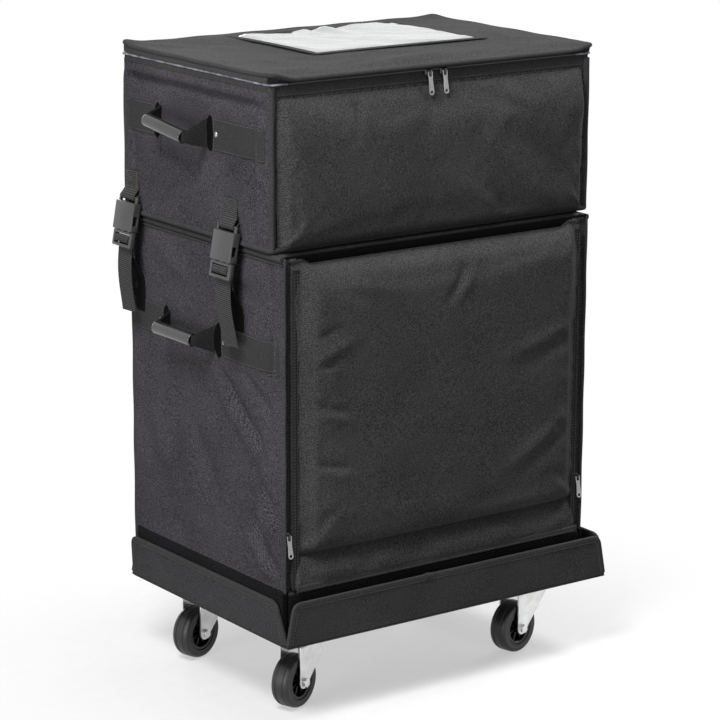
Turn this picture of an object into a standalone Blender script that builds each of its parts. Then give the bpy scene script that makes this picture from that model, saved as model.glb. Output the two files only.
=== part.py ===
"""Two-tier padded transport case on a caster dolly.

A zip-lid upper case is buckled onto a front-flap lower case, which stands in a
skirted tray on a four-caster board.  Metres, +Z up, +X right along the front,
the front faces -Y, and the floor is at Z = 0.
"""
import math

import bmesh
import bpy
from mathutils import Matrix, Vector

# Gaps between pieces
CLEAR = 0.0003
REVEAL = 0.0005

# Padded cases
UPPER_W = 0.580
UPPER_D = 0.394
UPPER_H = 0.2395
LOWER_W = 0.556
LOWER_D = 0.414
LOWER_H = 0.570
UPPER_WALL = 0.012
LOWER_WALL = 0.016
CASE_EDGE_R = 0.010
PAD_MARGIN = 0.016
PAD_SHOULDER = 0.030
FRONT_PAD_RISE = 0.007
PAD_CROWN_RISE = 0.003

# Lid
LID_T = 0.0132
LID_LIP = 0.003
LID_EDGE_R = 0.004
LID_HINGE_OFFSET = 0.0005
ZIP_GAP = 0.0025
ZIP_INSET = 0.0035
ZIP_SEAT = 0.001
WINDOW_W = 0.300
WINDOW_D = 0.222
WINDOW_T = 0.0012
WINDOW_X = 0.036
WINDOW_Y = 0.052

# Front flap of the lower case
FLAP_T = 0.014
FLAP_LIP_T = 0.003
FLAP_SLIT_W = 0.0105
FLAP_SLIT_DEPTH = 0.008
FLAP_SLIT_TOP = 0.010
SILL_RISE = 0.013
FLAP_BOTTOM_GAP = 0.0012
FLAP_TOP_DROP = 0.004
FLAP_HEM_H = 0.055
FLAP_EDGE_R = 0.003
FLAP_PAD_RISE = 0.009

# Tray
TRAY_SPARE_X = 0.0354
TRAY_SPARE_Y = 0.0094
TRAY_SHIFT_X = 0.012
TRAY_FLOOR_T = 0.006
SKIRT_T = 0.004
SKIRT_H = 0.066
SKIRT_CORNER_CUT = 0.008
SKIRT_CORNER_R = 0.010
BOARD_INSET = 0.040
BOARD_T = 0.012
BOARD_CORNER_R = 0.020

# Casters
CASTER_H = 0.108
CASTER_INSET_X = 0.090
CASTER_INSET_Y = 0.083
CASTER_TRAIL = 0.033
CASTER_YAW_DEG = {"fl": 21.0, "fr": 13.0, "bl": 17.0, "br": 17.0}
CASTER_SIDE = {"fl": (-1, -1), "fr": (1, -1), "bl": (-1, 1), "br": (1, 1)}
PLATE_W = 0.090
PLATE_D = 0.074
PLATE_T = 0.0025
PLATE_CORNER_R = 0.008
RACE_R = 0.026
RACE_H = 0.0065
KINGPIN_R = 0.006
RIVET_R = 0.010
RIVET_H = 0.0025
RIVET_CROWN = 0.7
FORK_T = 0.0025
FORK_GAP = 0.034
FORK_CROWN_R = 0.029
FORK_END_R = 0.010
FORK_SHOULDER_R = 0.005
FORK_CROWN_DEPTH = 0.008
WHEEL_R = 0.040
WHEEL_T = 0.030
TYRE_BED_R = 0.027
TYRE_WALL_H = 0.0097
TYRE_SHOULDER_H = 0.004
TYRE_CROWN_H = 0.001
TYRE_SHARES = (0.97, 1.0, 0.82, 0.60)
TYRE_GROOVE = 0.001
TYRE_GROOVE_SPAN = (0.48, 0.36)
HUB_RIM_T = 0.0045
HUB_RIM_W = 0.026
HUB_BOSS_R = 0.009
HUB_WEB_T = 0.0035
HUB_RIBS = 8
HUB_RIB_T = 0.002
HUB_RIB_W = 0.018
AXLE_R = 0.004
BOLT_HEAD_R = 0.0072
BOLT_HEAD_H = 0.005
WHEEL_STEPS = 24
HUB_STEPS = 20
RACE_STEPS = 16

# Carrying handles
GRIP_L = 0.100
GRIP_R = 0.010
GRIP_BORE_R = 0.008
GRIP_STANDOFF = 0.033
WING_FLARE = 0.022
WING_H = 0.048
WING_TAIL = 0.014
WEB_T = 0.0016
STRAP_CORE_H = 0.012
STRAP_CORE_T = 0.009
WING_KNEE = (0.55, 0.52, 0.70)
WING_MOUTH = 0.003
CORE_REACH = 0.90
UPPER_HANDLE_SHIFT = 0.0260
UPPER_HANDLE_RISE = 0.1528
LOWER_HANDLE_SHIFT = 0.0303
LOWER_HANDLE_RISE = 0.4181

# Side-release buckles on 40 mm webbing
STRAP_W = 0.038
BUCKLE_W = 0.052
BUCKLE_T = 0.014
BUCKLE_LEAN_DEG = 10.0
BUCKLE_SEAT = 0.0085
BUCKLE_BAR_RISE = 0.0273
BUCKLE_INSET_FRONT = 0.096
BUCKLE_INSET_BACK = 0.028
BUCKLE_EDGE_R = 0.002
BAR_H = 0.0045
BAR_T = 0.0045
BAR_SLOT_H = 0.0055
SLOT_W = 0.041
HEAD_INSET = 0.001
HEAD_ROOT = 0.003
HEAD_EDGE_R = 0.0012
FEMALE_L = 0.0438
FEMALE_WALL = 0.0025
FEMALE_BACK = 0.0015
SOCKET_W = 0.042
SOCKET_SPARE = 0.004
WINDOW_SLOT_LOW = 0.010
WINDOW_SLOT_H = 0.014
PRONG_L = 0.028
PRONG_W = 0.0058
PRONG_T = 0.004
PRONG_ROOT = 0.002
PRONG_WAIST = 0.0015
PRONG_TIP = 0.003
PRONG_BULGE = 0.0005
GUIDE_W = 0.006
GUIDE_L = 0.020
MALE_T = 0.008
MALE_EDGE_R = 0.0015
MALE_BAR_H = 0.0045
MALE_SLOT_H = 0.0055
TAB_RISE = 0.041
TAB_TURN = 0.012
TAB_END = 0.005
TAIL_DROP = 0.098
TAIL_BOW = 0.003
STRAP_STEPS = 6
TAIL_CURL = 1.25
ANCHOR_DROP = 0.1069
ANCHOR_L = 0.042

# Zip sliders and pulls
SLIDER_L = 0.013
SLIDER_W = 0.009
SLIDER_T = 0.005
LUG_T = 0.003
LUG_H = 0.0068
LUG_HOLE_H = 0.004
LUG_HOLE_D = 0.0032
LUG_RIM = 0.0014
PULL_L = 0.034
PULL_W = 0.009
PULL_T = 0.002
PULL_BAR = 0.0018
PULL_SLOT_W = 0.0044
PULL_SLOT_H = 0.0052
PULL_EYE_R = 0.0024
PULL_TAPER = 0.40
PULL_WAIST = 0.35
PULL_TILT_DEG = 9.0
LID_SLIDER_X = (-0.016, 0.011)
FLAP_SLIDER_RISE = 0.0842
SLIDER_EDGE = 0.0012
LUG_ROOT = 0.001

# Levels, from the floor up
BOARD_Z = CASTER_H + CLEAR
FLOOR_Z = BOARD_Z + BOARD_T + CLEAR
LOWER_Z = FLOOR_Z + TRAY_FLOOR_T + CLEAR
LOWER_TOP = LOWER_Z + LOWER_H
UPPER_Z = LOWER_TOP + CLEAR
UPPER_RIM = UPPER_Z + UPPER_H
LID_Z = UPPER_RIM + ZIP_GAP
LID_TOP = LID_Z + LID_T
SKIRT_TOP = FLOOR_Z + SKIRT_H

# Plan: the lower case is pushed into the back left corner of the tray
TRAY_W = LOWER_W + 2 * (SKIRT_T + CLEAR) + TRAY_SPARE_X
TRAY_D = LOWER_D + 2 * (SKIRT_T + CLEAR) + TRAY_SPARE_Y
LOWER_X = TRAY_SHIFT_X - TRAY_W / 2 + SKIRT_T + CLEAR + LOWER_W / 2
LOWER_Y = TRAY_D / 2 - SKIRT_T - CLEAR - LOWER_D / 2
LOWER_FRONT = LOWER_Y - LOWER_D / 2
UPPER_X = 0.0
UPPER_Y = TRAY_D / 2 - UPPER_D / 2
UPPER_FRONT = UPPER_Y - UPPER_D / 2
UPPER_BACK = UPPER_Y + UPPER_D / 2
FLAP_W = LOWER_W - 2 * (FLAP_LIP_T + FLAP_SLIT_W)
SILL_TOP = SKIRT_TOP + SILL_RISE
FLAP_Z = SILL_TOP + FLAP_BOTTOM_GAP
FLAP_TOP = LOWER_TOP - FLAP_TOP_DROP
LOWER_OVERHANG = abs(LOWER_X - UPPER_X) + (LOWER_W - UPPER_W) / 2
BUCKLE_STANDOFF = BUCKLE_SEAT + max(0.0, LOWER_OVERHANG)
BUCKLE_BAR_Z = UPPER_Z + BUCKLE_BAR_RISE
BUCKLE_Y = {"f": UPPER_FRONT + BUCKLE_INSET_FRONT, "b": UPPER_BACK - BUCKLE_INSET_BACK}

FRONT = Vector((0, -1, 0))
CUT_MARGIN = 0.004

for stale in list(bpy.data.objects):
    bpy.data.objects.remove(stale, do_unlink=True)


def new_collection(name):
    """A collection linked to the scene."""
    made = bpy.data.collections.new(name)
    bpy.context.scene.collection.children.link(made)
    return made


PARTS = new_collection("transport_case")
CUTTERS = new_collection("transport_case_cutters")


def new_material(name, colour, roughness, metallic=0.0):
    """A Principled material."""
    made = bpy.data.materials.new(name)
    made.use_nodes = True
    shader = made.node_tree.nodes["Principled BSDF"]
    shader.inputs["Base Color"].default_value = (*colour, 1.0)
    shader.inputs["Roughness"].default_value = roughness
    shader.inputs["Metallic"].default_value = metallic
    return made


MATERIALS = {
    "fabric": new_material("fabric", (0.030, 0.030, 0.033), 0.85),
    "webbing": new_material("webbing", (0.022, 0.022, 0.023), 0.80),
    "vinyl": new_material("vinyl", (0.80, 0.80, 0.80), 0.20),
    "buckle_plastic": new_material("buckle_plastic", (0.055, 0.055, 0.058), 0.50),
    "grip_plastic": new_material("grip_plastic", (0.090, 0.090, 0.090), 0.35),
    "plywood": new_material("plywood", (0.060, 0.050, 0.040), 0.70),
    "zinc": new_material("zinc", (0.700, 0.700, 0.690), 0.35, 1.0),
    "slider_metal": new_material("slider_metal", (0.100, 0.100, 0.105), 0.35, 1.0),
    "hub_plastic": new_material("hub_plastic", (0.020, 0.020, 0.021), 0.40),
    "tyre": new_material("tyre", (0.035, 0.035, 0.036), 0.60),
}


def add_object(name, mesh, slot):
    """A part in the object's collection, with its material."""
    made = bpy.data.objects.new(name, mesh)
    mesh.materials.clear()
    mesh.materials.append(MATERIALS[slot])
    PARTS.objects.link(made)
    return made


def from_bmesh(name, shape, slot):
    """A part whose mesh is the finished bmesh."""
    bmesh.ops.recalc_face_normals(shape, faces=shape.faces)
    mesh = bpy.data.meshes.new(name)
    shape.to_mesh(mesh)
    shape.free()
    return add_object(name, mesh, slot)


def box_bmesh(low, high, radius=0.0, segments=2):
    """A block between two corners, its edges rounded."""
    low, high = Vector(low), Vector(high)
    shape = bmesh.new()
    bmesh.ops.create_cube(shape, size=1.0)
    bmesh.ops.scale(shape, vec=high - low, verts=shape.verts)
    bmesh.ops.translate(shape, vec=(low + high) / 2, verts=shape.verts)
    if radius:
        bmesh.ops.bevel(shape, geom=shape.edges, offset=radius, segments=segments,
                        profile=0.5, affect="EDGES")
    return shape


def box(name, low, high, slot, radius=0.0, segments=2):
    """A block part."""
    return from_bmesh(name, box_bmesh(low, high, radius, segments), slot)


def swell(shape, direction, steps):
    """Swell the largest flat face that looks along direction; each step is (inset, rise)."""
    facing = [f for f in shape.faces if f.normal.dot(direction) > 0.999]
    face = max(facing, key=lambda f: f.calc_area())
    for inset, rise in steps:
        bmesh.ops.inset_region(shape, faces=[face], thickness=inset, use_even_offset=True)
        bmesh.ops.translate(shape, vec=direction * rise, verts=face.verts)


def evaluated_mesh(source):
    """The mesh of an object with its modifiers, or of a curve with its caps welded."""
    bpy.context.view_layer.update()
    graph = bpy.context.evaluated_depsgraph_get()
    mesh = bpy.data.meshes.new_from_object(source.evaluated_get(graph))
    shape = bmesh.new()
    shape.from_mesh(mesh)
    bmesh.ops.remove_doubles(shape, verts=shape.verts, dist=1e-6)
    bmesh.ops.recalc_face_normals(shape, faces=shape.faces)
    shape.to_mesh(mesh)
    shape.free()
    return mesh


def bake(source):
    """Replace an object's mesh and modifiers by its finished mesh."""
    mesh = evaluated_mesh(source)
    source.modifiers.clear()
    source.data = mesh
    return source


def boolean(target, tool, operation):
    """Cut, join or intersect a part with a tool, which is kept as a hidden guide."""
    PARTS.objects.unlink(tool)
    CUTTERS.objects.link(tool)
    tool.hide_render = True
    tool.display_type = "WIRE"
    modifier = target.modifiers.new(tool.name, "BOOLEAN")
    modifier.operation = operation
    modifier.object = tool
    modifier.solver = "EXACT"
    return target


def cut_box(target, name, low, high):
    """Cut a block out of a part."""
    return boolean(target, box(name, low, high, "fabric"), "DIFFERENCE")


def outline(name, points, thickness, slot):
    """A flat outline in the XY plane, thickened evenly to both sides, as a mesh."""
    curve = bpy.data.curves.new(name, "CURVE")
    curve.dimensions = "2D"
    curve.fill_mode = "BOTH"
    curve.extrude = thickness / 2
    spline = curve.splines.new("POLY")
    spline.points.add(len(points) - 1)
    for spot, (x, y) in zip(spline.points, points):
        spot.co = (x, y, 0, 1)
    spline.use_cyclic_u = True
    drawn = bpy.data.objects.new(name, curve)
    PARTS.objects.link(drawn)
    mesh = evaluated_mesh(drawn)
    bpy.data.objects.remove(drawn, do_unlink=True)
    return add_object(name, mesh, slot)


def lathe(name, profile, steps, slot):
    """A turned shape about Z; the profile's (radius, height) points run down the outer side."""
    mesh = bpy.data.meshes.new(name)
    closed = profile[0][0] > 0
    edges = [(i, i + 1) for i in range(len(profile) - 1)]
    if closed:
        edges.append((len(profile) - 1, 0))
    mesh.from_pydata([(r, 0, z) for r, z in profile], edges, [])
    made = add_object(name, mesh, slot)
    screw = made.modifiers.new("turn", "SCREW")
    screw.axis = "Z"
    screw.angle = 2 * math.pi
    screw.steps = steps
    screw.render_steps = steps
    screw.use_merge_vertices = True
    screw.merge_threshold = 1e-6
    return bake(made)


def transform(part, matrix):
    """Move a part's mesh within its own frame."""
    part.data.transform(matrix)
    return part


def arc(centre, radius, start_deg, end_deg, steps):
    """Points on an arc."""
    turn = (end_deg - start_deg) / steps
    angles = [math.radians(start_deg + turn * i) for i in range(steps + 1)]
    return [(centre[0] + radius * math.cos(a), centre[1] + radius * math.sin(a)) for a in angles]


def ribbon_outline(path, thickness):
    """The closed outline of a strap seen edge on, along a path of points."""
    path = [Vector(p) for p in path]
    left, right = [], []
    for i, point in enumerate(path):
        back = (point - path[max(i - 1, 0)]).normalized()
        ahead = (path[min(i + 1, len(path) - 1)] - point).normalized()
        along = (back + ahead).normalized()
        side = Vector((-along.y, along.x))
        widen = 1 / max((back + ahead).length / 2, 0.5) if 0 < i < len(path) - 1 else 1
        left.append(point + side * thickness / 2 * widen)
        right.append(point - side * thickness / 2 * widen)
    return [tuple(p) for p in left + right[::-1]]


def shade_round(part, angle_deg=40):
    """Smooth shading with sharp creases."""
    part.data.shade_smooth()
    part.data.set_sharp_from_angle(angle=math.radians(angle_deg))
    return part


def pivot(name, place, turn=None):
    """An empty on a joint's axis."""
    made = bpy.data.objects.new(name, None)
    PARTS.objects.link(made)
    made.matrix_world = Matrix.Translation(place) @ (turn or Matrix.Identity(4))
    return made


def hang_on(part, axis):
    """Parent a part, modelled in world space, to the empty on its joint's axis."""
    bpy.context.view_layer.update()
    part.parent = axis
    part.matrix_parent_inverse = axis.matrix_world.inverted()
    return part


def build_base():
    """Board, tray floor and the four fold-down skirts."""
    half_w, half_d = TRAY_W / 2, TRAY_D / 2
    board = outline("base_board", rounded_rectangle(TRAY_W - 2 * BOARD_INSET,
                    TRAY_D - 2 * BOARD_INSET, BOARD_CORNER_R), BOARD_T, "plywood")
    board.location = (TRAY_SHIFT_X, 0, BOARD_Z + BOARD_T / 2)
    rim = SKIRT_T + REVEAL
    box("tray_floor", (TRAY_SHIFT_X - half_w + rim, -half_d + rim, FLOOR_Z),
        (TRAY_SHIFT_X + half_w - rim, half_d - rim, FLOOR_Z + TRAY_FLOOR_T), "fabric")
    side_length = TRAY_D - 2 * (SKIRT_T + REVEAL)
    walls = {"front": (TRAY_W, 0), "right": (side_length, 90), "back": (TRAY_W, 180),
             "left": (side_length, 270)}
    for side, (length, turn) in walls.items():
        reach = half_d if side in ("front", "back") else half_w
        turned = Matrix.Rotation(math.radians(turn), 4, "Z")
        edge = Vector((TRAY_SHIFT_X, 0, FLOOR_Z)) + turned @ (FRONT * reach)
        axis = pivot(f"skirt_{side}_hinge", edge, turned)
        skirt = outline(f"skirt_{side}", skirt_outline(length), SKIRT_T, "fabric")
        transform(skirt, Matrix.Translation((0, SKIRT_T / 2, 0))
                  @ Matrix.Rotation(math.radians(90), 4, "X"))
        skirt.parent = axis


def rounded_rectangle(width, depth, radius):
    """The outline of a rectangle with round corners."""
    x, y = width / 2 - radius, depth / 2 - radius
    points = []
    for sx, sy, start in ((1, 1, 0), (-1, 1, 90), (-1, -1, 180), (1, -1, 270)):
        points += arc((sx * x, sy * y), radius, start, start + 90, 4)
    return points


def skirt_outline(length):
    """A skirt seen from outside: full width at its fold, round cut-back corners on top."""
    half = length / 2
    top = half - SKIRT_CORNER_CUT - SKIRT_CORNER_R
    corner = SKIRT_H - SKIRT_CORNER_R
    return ([(-half, 0), (half, 0)] + arc((top, corner), SKIRT_CORNER_R, 0, 90, 4)
            + arc((-top, corner), SKIRT_CORNER_R, 90, 180, 4))


def caster_plate(name):
    """Top plate with its pressed bearing race and the kingpin's rivet head."""
    crown_top = CASTER_H - PLATE_T - RACE_H - CLEAR
    rivet_top = crown_top - FORK_T - CLEAR
    profile = [(0, CASTER_H - PLATE_T / 2), (RACE_R, CASTER_H - PLATE_T / 2),
               (RACE_R, crown_top + CLEAR), (KINGPIN_R, crown_top + CLEAR),
               (KINGPIN_R, rivet_top), (RIVET_R, rivet_top),
               (RIVET_R * RIVET_CROWN, rivet_top - RIVET_H), (0, rivet_top - RIVET_H)]
    race = lathe(name + "_race", profile, RACE_STEPS, "zinc")
    plate = outline(name, rounded_rectangle(PLATE_W, PLATE_D, PLATE_CORNER_R), PLATE_T, "zinc")
    transform(plate, Matrix.Translation((0, 0, CASTER_H - PLATE_T / 2)))
    return bake(boolean(plate, race, "UNION"))


def caster_fork(name):
    """A U pressed from sheet, its legs tapering from the crown to the axle."""
    crown_top = CASTER_H - PLATE_T - RACE_H - CLEAR
    outer = FORK_GAP / 2 + FORK_T
    reach = CASTER_TRAIL + 2 * WHEEL_R
    shape = box_bmesh((-reach, -outer, -WHEEL_R), (reach, outer, crown_top))
    shoulders = [e for e in shape.edges
                 if all(abs(v.co.z - crown_top) < 1e-6 for v in e.verts)
                 and abs(e.verts[0].co.y - e.verts[1].co.y) < 1e-6]
    bmesh.ops.bevel(shape, geom=shoulders, offset=FORK_SHOULDER_R, segments=3,
                    profile=0.5, affect="EDGES")
    fork = from_bmesh(name, shape, "zinc")
    cut_box(fork, name + "_channel", (-2 * reach, -FORK_GAP / 2, -2 * WHEEL_R),
            (2 * reach, FORK_GAP / 2, crown_top - FORK_T))
    end = (-CASTER_TRAIL, WHEEL_R)
    leg = (arc(end, FORK_END_R, 180, 330, 6)
           + [(FORK_CROWN_R, crown_top - FORK_CROWN_DEPTH), (FORK_CROWN_R, crown_top + CUT_MARGIN),
              (-CASTER_TRAIL - FORK_END_R, crown_top + CUT_MARGIN)])
    side = outline(name + "_side", leg, 4 * outer, "zinc")
    transform(side, Matrix.Rotation(math.radians(90), 4, "X"))
    boolean(fork, side, "INTERSECT")
    pin = cylinder(name + "_pin_hole", KINGPIN_R + CLEAR, 3 * CASTER_H, RACE_STEPS)
    boolean(fork, pin, "DIFFERENCE")
    hole = cylinder(name + "_axle_hole", AXLE_R + CLEAR, 4 * outer, 16)
    transform(hole, axle_frame())
    boolean(fork, hole, "DIFFERENCE")
    return bake(fork)


def cylinder(name, radius, length, sides, slot="zinc"):
    """A cylinder about Z, centred on the origin."""
    shape = bmesh.new()
    bmesh.ops.create_cone(shape, cap_ends=True, segments=sides, radius1=radius, radius2=radius,
                          depth=length)
    return from_bmesh(name, shape, slot)


def axle_frame():
    """Turns Z into the axle's direction and moves the origin to the wheel's centre."""
    return (Matrix.Translation((-CASTER_TRAIL, 0, WHEEL_R))
            @ Matrix.Rotation(math.radians(90), 4, "X"))


def caster_hub(name):
    """Moulded hub: boss, web, rim and radial ribs on both faces of the web."""
    boss = FORK_GAP / 2 - REVEAL
    bore = AXLE_R + CLEAR
    rim_in, rim_out = TYRE_BED_R - HUB_RIM_T, TYRE_BED_R
    upper_half = [(rim_in, HUB_WEB_T / 2), (rim_in, HUB_RIM_W / 2), (rim_out, HUB_RIM_W / 2)]
    lower_half = [(r, -z) for r, z in reversed(upper_half)]
    inner = [(HUB_BOSS_R, HUB_WEB_T / 2), (HUB_BOSS_R, boss), (bore, boss)]
    profile = upper_half + lower_half + [(r, -z) for r, z in inner] + inner[::-1]
    hub = lathe(name, profile, HUB_STEPS, "hub_plastic")
    ribs = bmesh.new()
    root, tip = (bore + HUB_BOSS_R) / 2, (rim_in + rim_out) / 2
    for i in range(HUB_RIBS):
        rib = bmesh.ops.create_cube(ribs, size=1.0)["verts"]
        bmesh.ops.scale(ribs, vec=(tip - root, HUB_RIB_T, HUB_RIB_W), verts=rib)
        bmesh.ops.translate(ribs, vec=((root + tip) / 2, 0, 0), verts=rib)
        bmesh.ops.rotate(ribs, cent=(0, 0, 0), verts=rib,
                         matrix=Matrix.Rotation((i + 0.5) * 2 * math.pi / HUB_RIBS, 3, "Z"))
    boolean(hub, from_bmesh(name + "_ribs", ribs, "hub_plastic"), "UNION")
    return transform(bake(hub), axle_frame())


def caster_tyre(name):
    """Rubber tyre with rounded shoulders and two grooves round its tread."""
    half = WHEEL_T / 2
    bed = TYRE_BED_R + CLEAR
    middle, far = TYRE_GROOVE_SPAN
    drops = (TYRE_WALL_H, TYRE_SHOULDER_H, TYRE_CROWN_H, 0)
    shoulder = ([(bed, HUB_RIM_W / 2)]
                + [(WHEEL_R - drop, half * share) for drop, share in zip(drops, TYRE_SHARES)]
                + [(WHEEL_R - TYRE_GROOVE, half * middle), (WHEEL_R, half * far)])
    profile = shoulder + [(r, -z) for r, z in reversed(shoulder)]
    return transform(lathe(name, profile, WHEEL_STEPS, "tyre"), axle_frame())


def caster_axle(name):
    """Axle bolt with a hex head and a nut."""
    outer = FORK_GAP / 2 + FORK_T + CLEAR
    shaft = cylinder(name, AXLE_R, 2 * outer + BOLT_HEAD_H, 12)
    for end, sign in (("head", 1), ("nut", -1)):
        hexagon = cylinder(f"{name}_{end}", BOLT_HEAD_R, BOLT_HEAD_H, 6)
        transform(hexagon, Matrix.Translation((0, 0, sign * (outer + BOLT_HEAD_H / 2))))
        boolean(shaft, hexagon, "UNION")
    return transform(bake(shaft), axle_frame())


def build_casters():
    """Four swivel casters; the later ones share the first one's meshes."""
    makers = {"plate": caster_plate, "fork": caster_fork, "hub": caster_hub,
              "tyre": caster_tyre, "axle": caster_axle}
    meshes = {}
    for corner, (sx, sy) in CASTER_SIDE.items():
        place = Vector((TRAY_SHIFT_X + sx * (TRAY_W / 2 - CASTER_INSET_X),
                        sy * (TRAY_D / 2 - CASTER_INSET_Y), 0))
        yaw = Matrix.Rotation(math.radians(CASTER_YAW_DEG[corner]), 4, "Z")
        swivel = pivot(f"caster_{corner}_swivel", place, yaw)
        fixed = pivot(f"caster_{corner}_mount", place)
        for piece, maker in makers.items():
            name = f"caster_{corner}_{piece}"
            if piece in meshes:
                part = bpy.data.objects.new(name, meshes[piece])
                PARTS.objects.link(part)
            else:
                part = shade_round(maker(name))
                meshes[piece] = part.data
            part.parent = fixed if piece == "plate" else swivel


def build_lower_case():
    """Open-fronted padded shell with its sill, and the hinged front flap."""
    left, right = LOWER_X - LOWER_W / 2, LOWER_X + LOWER_W / 2
    back = LOWER_Y + LOWER_D / 2
    shell = box("lower_shell", (left, LOWER_FRONT, LOWER_Z), (right, back, LOWER_TOP),
                "fabric", CASE_EDGE_R, 3)
    cut_box(shell, "lower_interior",
            (left + LOWER_WALL, LOWER_FRONT + LOWER_WALL, LOWER_Z + LOWER_WALL),
            (right - LOWER_WALL, back - LOWER_WALL, LOWER_TOP - LOWER_WALL))
    cut_box(shell, "lower_doorway", (left + LOWER_WALL, LOWER_FRONT - CUT_MARGIN, SILL_TOP),
            (right - LOWER_WALL, LOWER_Y, LOWER_TOP - LOWER_WALL))
    cut_box(shell, "lower_flap_recess",
            (LOWER_X - FLAP_W / 2 - REVEAL, LOWER_FRONT - CUT_MARGIN, SILL_TOP),
            (LOWER_X + FLAP_W / 2 + REVEAL, LOWER_FRONT + FLAP_T + REVEAL,
             LOWER_TOP + CUT_MARGIN))
    cut_box(shell, "lower_zip_slits", (left + FLAP_LIP_T, LOWER_FRONT - CUT_MARGIN, SILL_TOP),
            (right - FLAP_LIP_T, LOWER_FRONT + FLAP_SLIT_DEPTH, LOWER_TOP - FLAP_SLIT_TOP))

    low = (LOWER_X - FLAP_W / 2, LOWER_FRONT, FLAP_Z)
    high = (LOWER_X + FLAP_W / 2, LOWER_FRONT + FLAP_T, FLAP_TOP)
    shape = box_bmesh(low, high, FLAP_EDGE_R)
    everything = shape.verts[:] + shape.edges[:] + shape.faces[:]
    bmesh.ops.bisect_plane(shape, geom=everything, plane_co=(0, 0, FLAP_Z + FLAP_HEM_H),
                           plane_no=(0, 0, 1))
    swell(shape, FRONT, [(PAD_MARGIN, FLAP_PAD_RISE), (PAD_SHOULDER, PAD_CROWN_RISE)])
    flap = from_bmesh("front_flap", shape, "fabric")
    hang_on(flap, pivot("front_flap_hinge", (LOWER_X, LOWER_FRONT, FLAP_TOP)))


def build_upper_case():
    """Padded shell with buckle tabs, its zip rim, the lid and the lid's window."""
    left, right = UPPER_X - UPPER_W / 2, UPPER_X + UPPER_W / 2
    shape = box_bmesh((left, UPPER_FRONT, UPPER_Z), (right, UPPER_BACK, UPPER_RIM),
                      CASE_EDGE_R, 3)
    swell(shape, FRONT, [(PAD_MARGIN, FRONT_PAD_RISE), (PAD_SHOULDER, PAD_CROWN_RISE)])
    shell = from_bmesh("upper_shell", shape, "fabric")
    zip_rim = box("upper_zip_rim",
                  (left + ZIP_INSET, UPPER_FRONT + ZIP_INSET, UPPER_RIM - CASE_EDGE_R),
                  (right - ZIP_INSET, UPPER_BACK - ZIP_INSET, LID_Z - CLEAR), "fabric")
    boolean(shell, zip_rim, "UNION")
    cut_box(shell, "upper_interior",
            (left + UPPER_WALL, UPPER_FRONT + UPPER_WALL, UPPER_Z + UPPER_WALL),
            (right - UPPER_WALL, UPPER_BACK - UPPER_WALL, LID_TOP + CUT_MARGIN))
    for side, end in buckle_places():
        tab = strap_ribbon(f"buckle_{side}{end}_tab", tab_path(), side, end)
        boolean(shell, tab, "UNION")

    low = (left - LID_LIP, UPPER_FRONT - LID_LIP, LID_Z)
    high = (right + LID_LIP, UPPER_BACK, LID_TOP)
    lid = box("lid", low, high, "fabric", LID_EDGE_R)
    half_w, half_d = WINDOW_W / 2, WINDOW_D / 2
    middle_x, middle_y = UPPER_X + WINDOW_X, UPPER_Y + WINDOW_Y
    seat = LID_TOP - WINDOW_T - 2 * CLEAR
    cut_box(lid, "lid_window_recess",
            (middle_x - half_w - REVEAL, middle_y - half_d - REVEAL, seat),
            (middle_x + half_w + REVEAL, middle_y + half_d + REVEAL, LID_TOP + CUT_MARGIN))
    film = box("window_film", (middle_x - half_w, middle_y - half_d, seat + CLEAR),
               (middle_x + half_w, middle_y + half_d, seat + CLEAR + WINDOW_T), "vinyl")
    hinge = pivot("lid_hinge", (UPPER_X, UPPER_BACK + LID_HINGE_OFFSET, LID_Z))
    hang_on(lid, hinge)
    hang_on(film, hinge)


def buckle_places():
    """Side and end of each buckle: l or r, then f or b."""
    return [(side, end) for side in "lr" for end in "fb"]


def outward(side):
    """The sign of X that points away from the case on a side."""
    return -1 if side == "l" else 1


def buckle_frame(side, end):
    """A buckle's own frame: X across, -Y out of the case, Z up, origin in the top bar."""
    sign = outward(side)
    place = Vector((UPPER_X + sign * (UPPER_W / 2 + BUCKLE_STANDOFF), BUCKLE_Y[end], BUCKLE_BAR_Z))
    return (Matrix.Translation(place) @ Matrix.Rotation(sign * math.pi / 2, 4, "Z")
            @ Matrix.Rotation(-math.radians(BUCKLE_LEAN_DEG), 4, "X"))


def leaning(depth, height):
    """A point of the buckle's frame as (distance out of the upper wall, height)."""
    lean = math.radians(BUCKLE_LEAN_DEG)
    return (BUCKLE_STANDOFF - depth * math.cos(lean) - height * math.sin(lean),
            BUCKLE_BAR_Z - depth * math.sin(lean) + height * math.cos(lean))


def strap_ribbon(name, path, side, end):
    """Webbing that follows a path of (distance out of the upper wall, height) points."""
    ribbon = outline(name, ribbon_outline(path, WEB_T), STRAP_W, "webbing")
    sign = outward(side)
    upright = Matrix(((sign, 0, 0, UPPER_X + sign * UPPER_W / 2), (0, 0, -sign, BUCKLE_Y[end]),
                      (0, 1, 0, 0), (0, 0, 0, 1)))
    return transform(ribbon, upright)


def tab_path():
    """From a sewn end on the wall, round the buckle's top bar and back into the wall."""
    loop_r = math.hypot(BAR_H, BAR_T) / 2 + CLEAR + WEB_T / 2
    sunk = -WEB_T
    flat = WEB_T / 2 - CLEAR
    loop = [leaning(loop_r * math.cos(a), loop_r * math.sin(a))
            for a in (math.radians(t) for t in range(150, 391, 30))]
    top = BUCKLE_BAR_Z + TAB_RISE
    return [(sunk, top), (flat, top), (flat, BUCKLE_BAR_Z + TAB_TURN)] + loop + [
        (sunk, BUCKLE_BAR_Z + TAB_END)]


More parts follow.
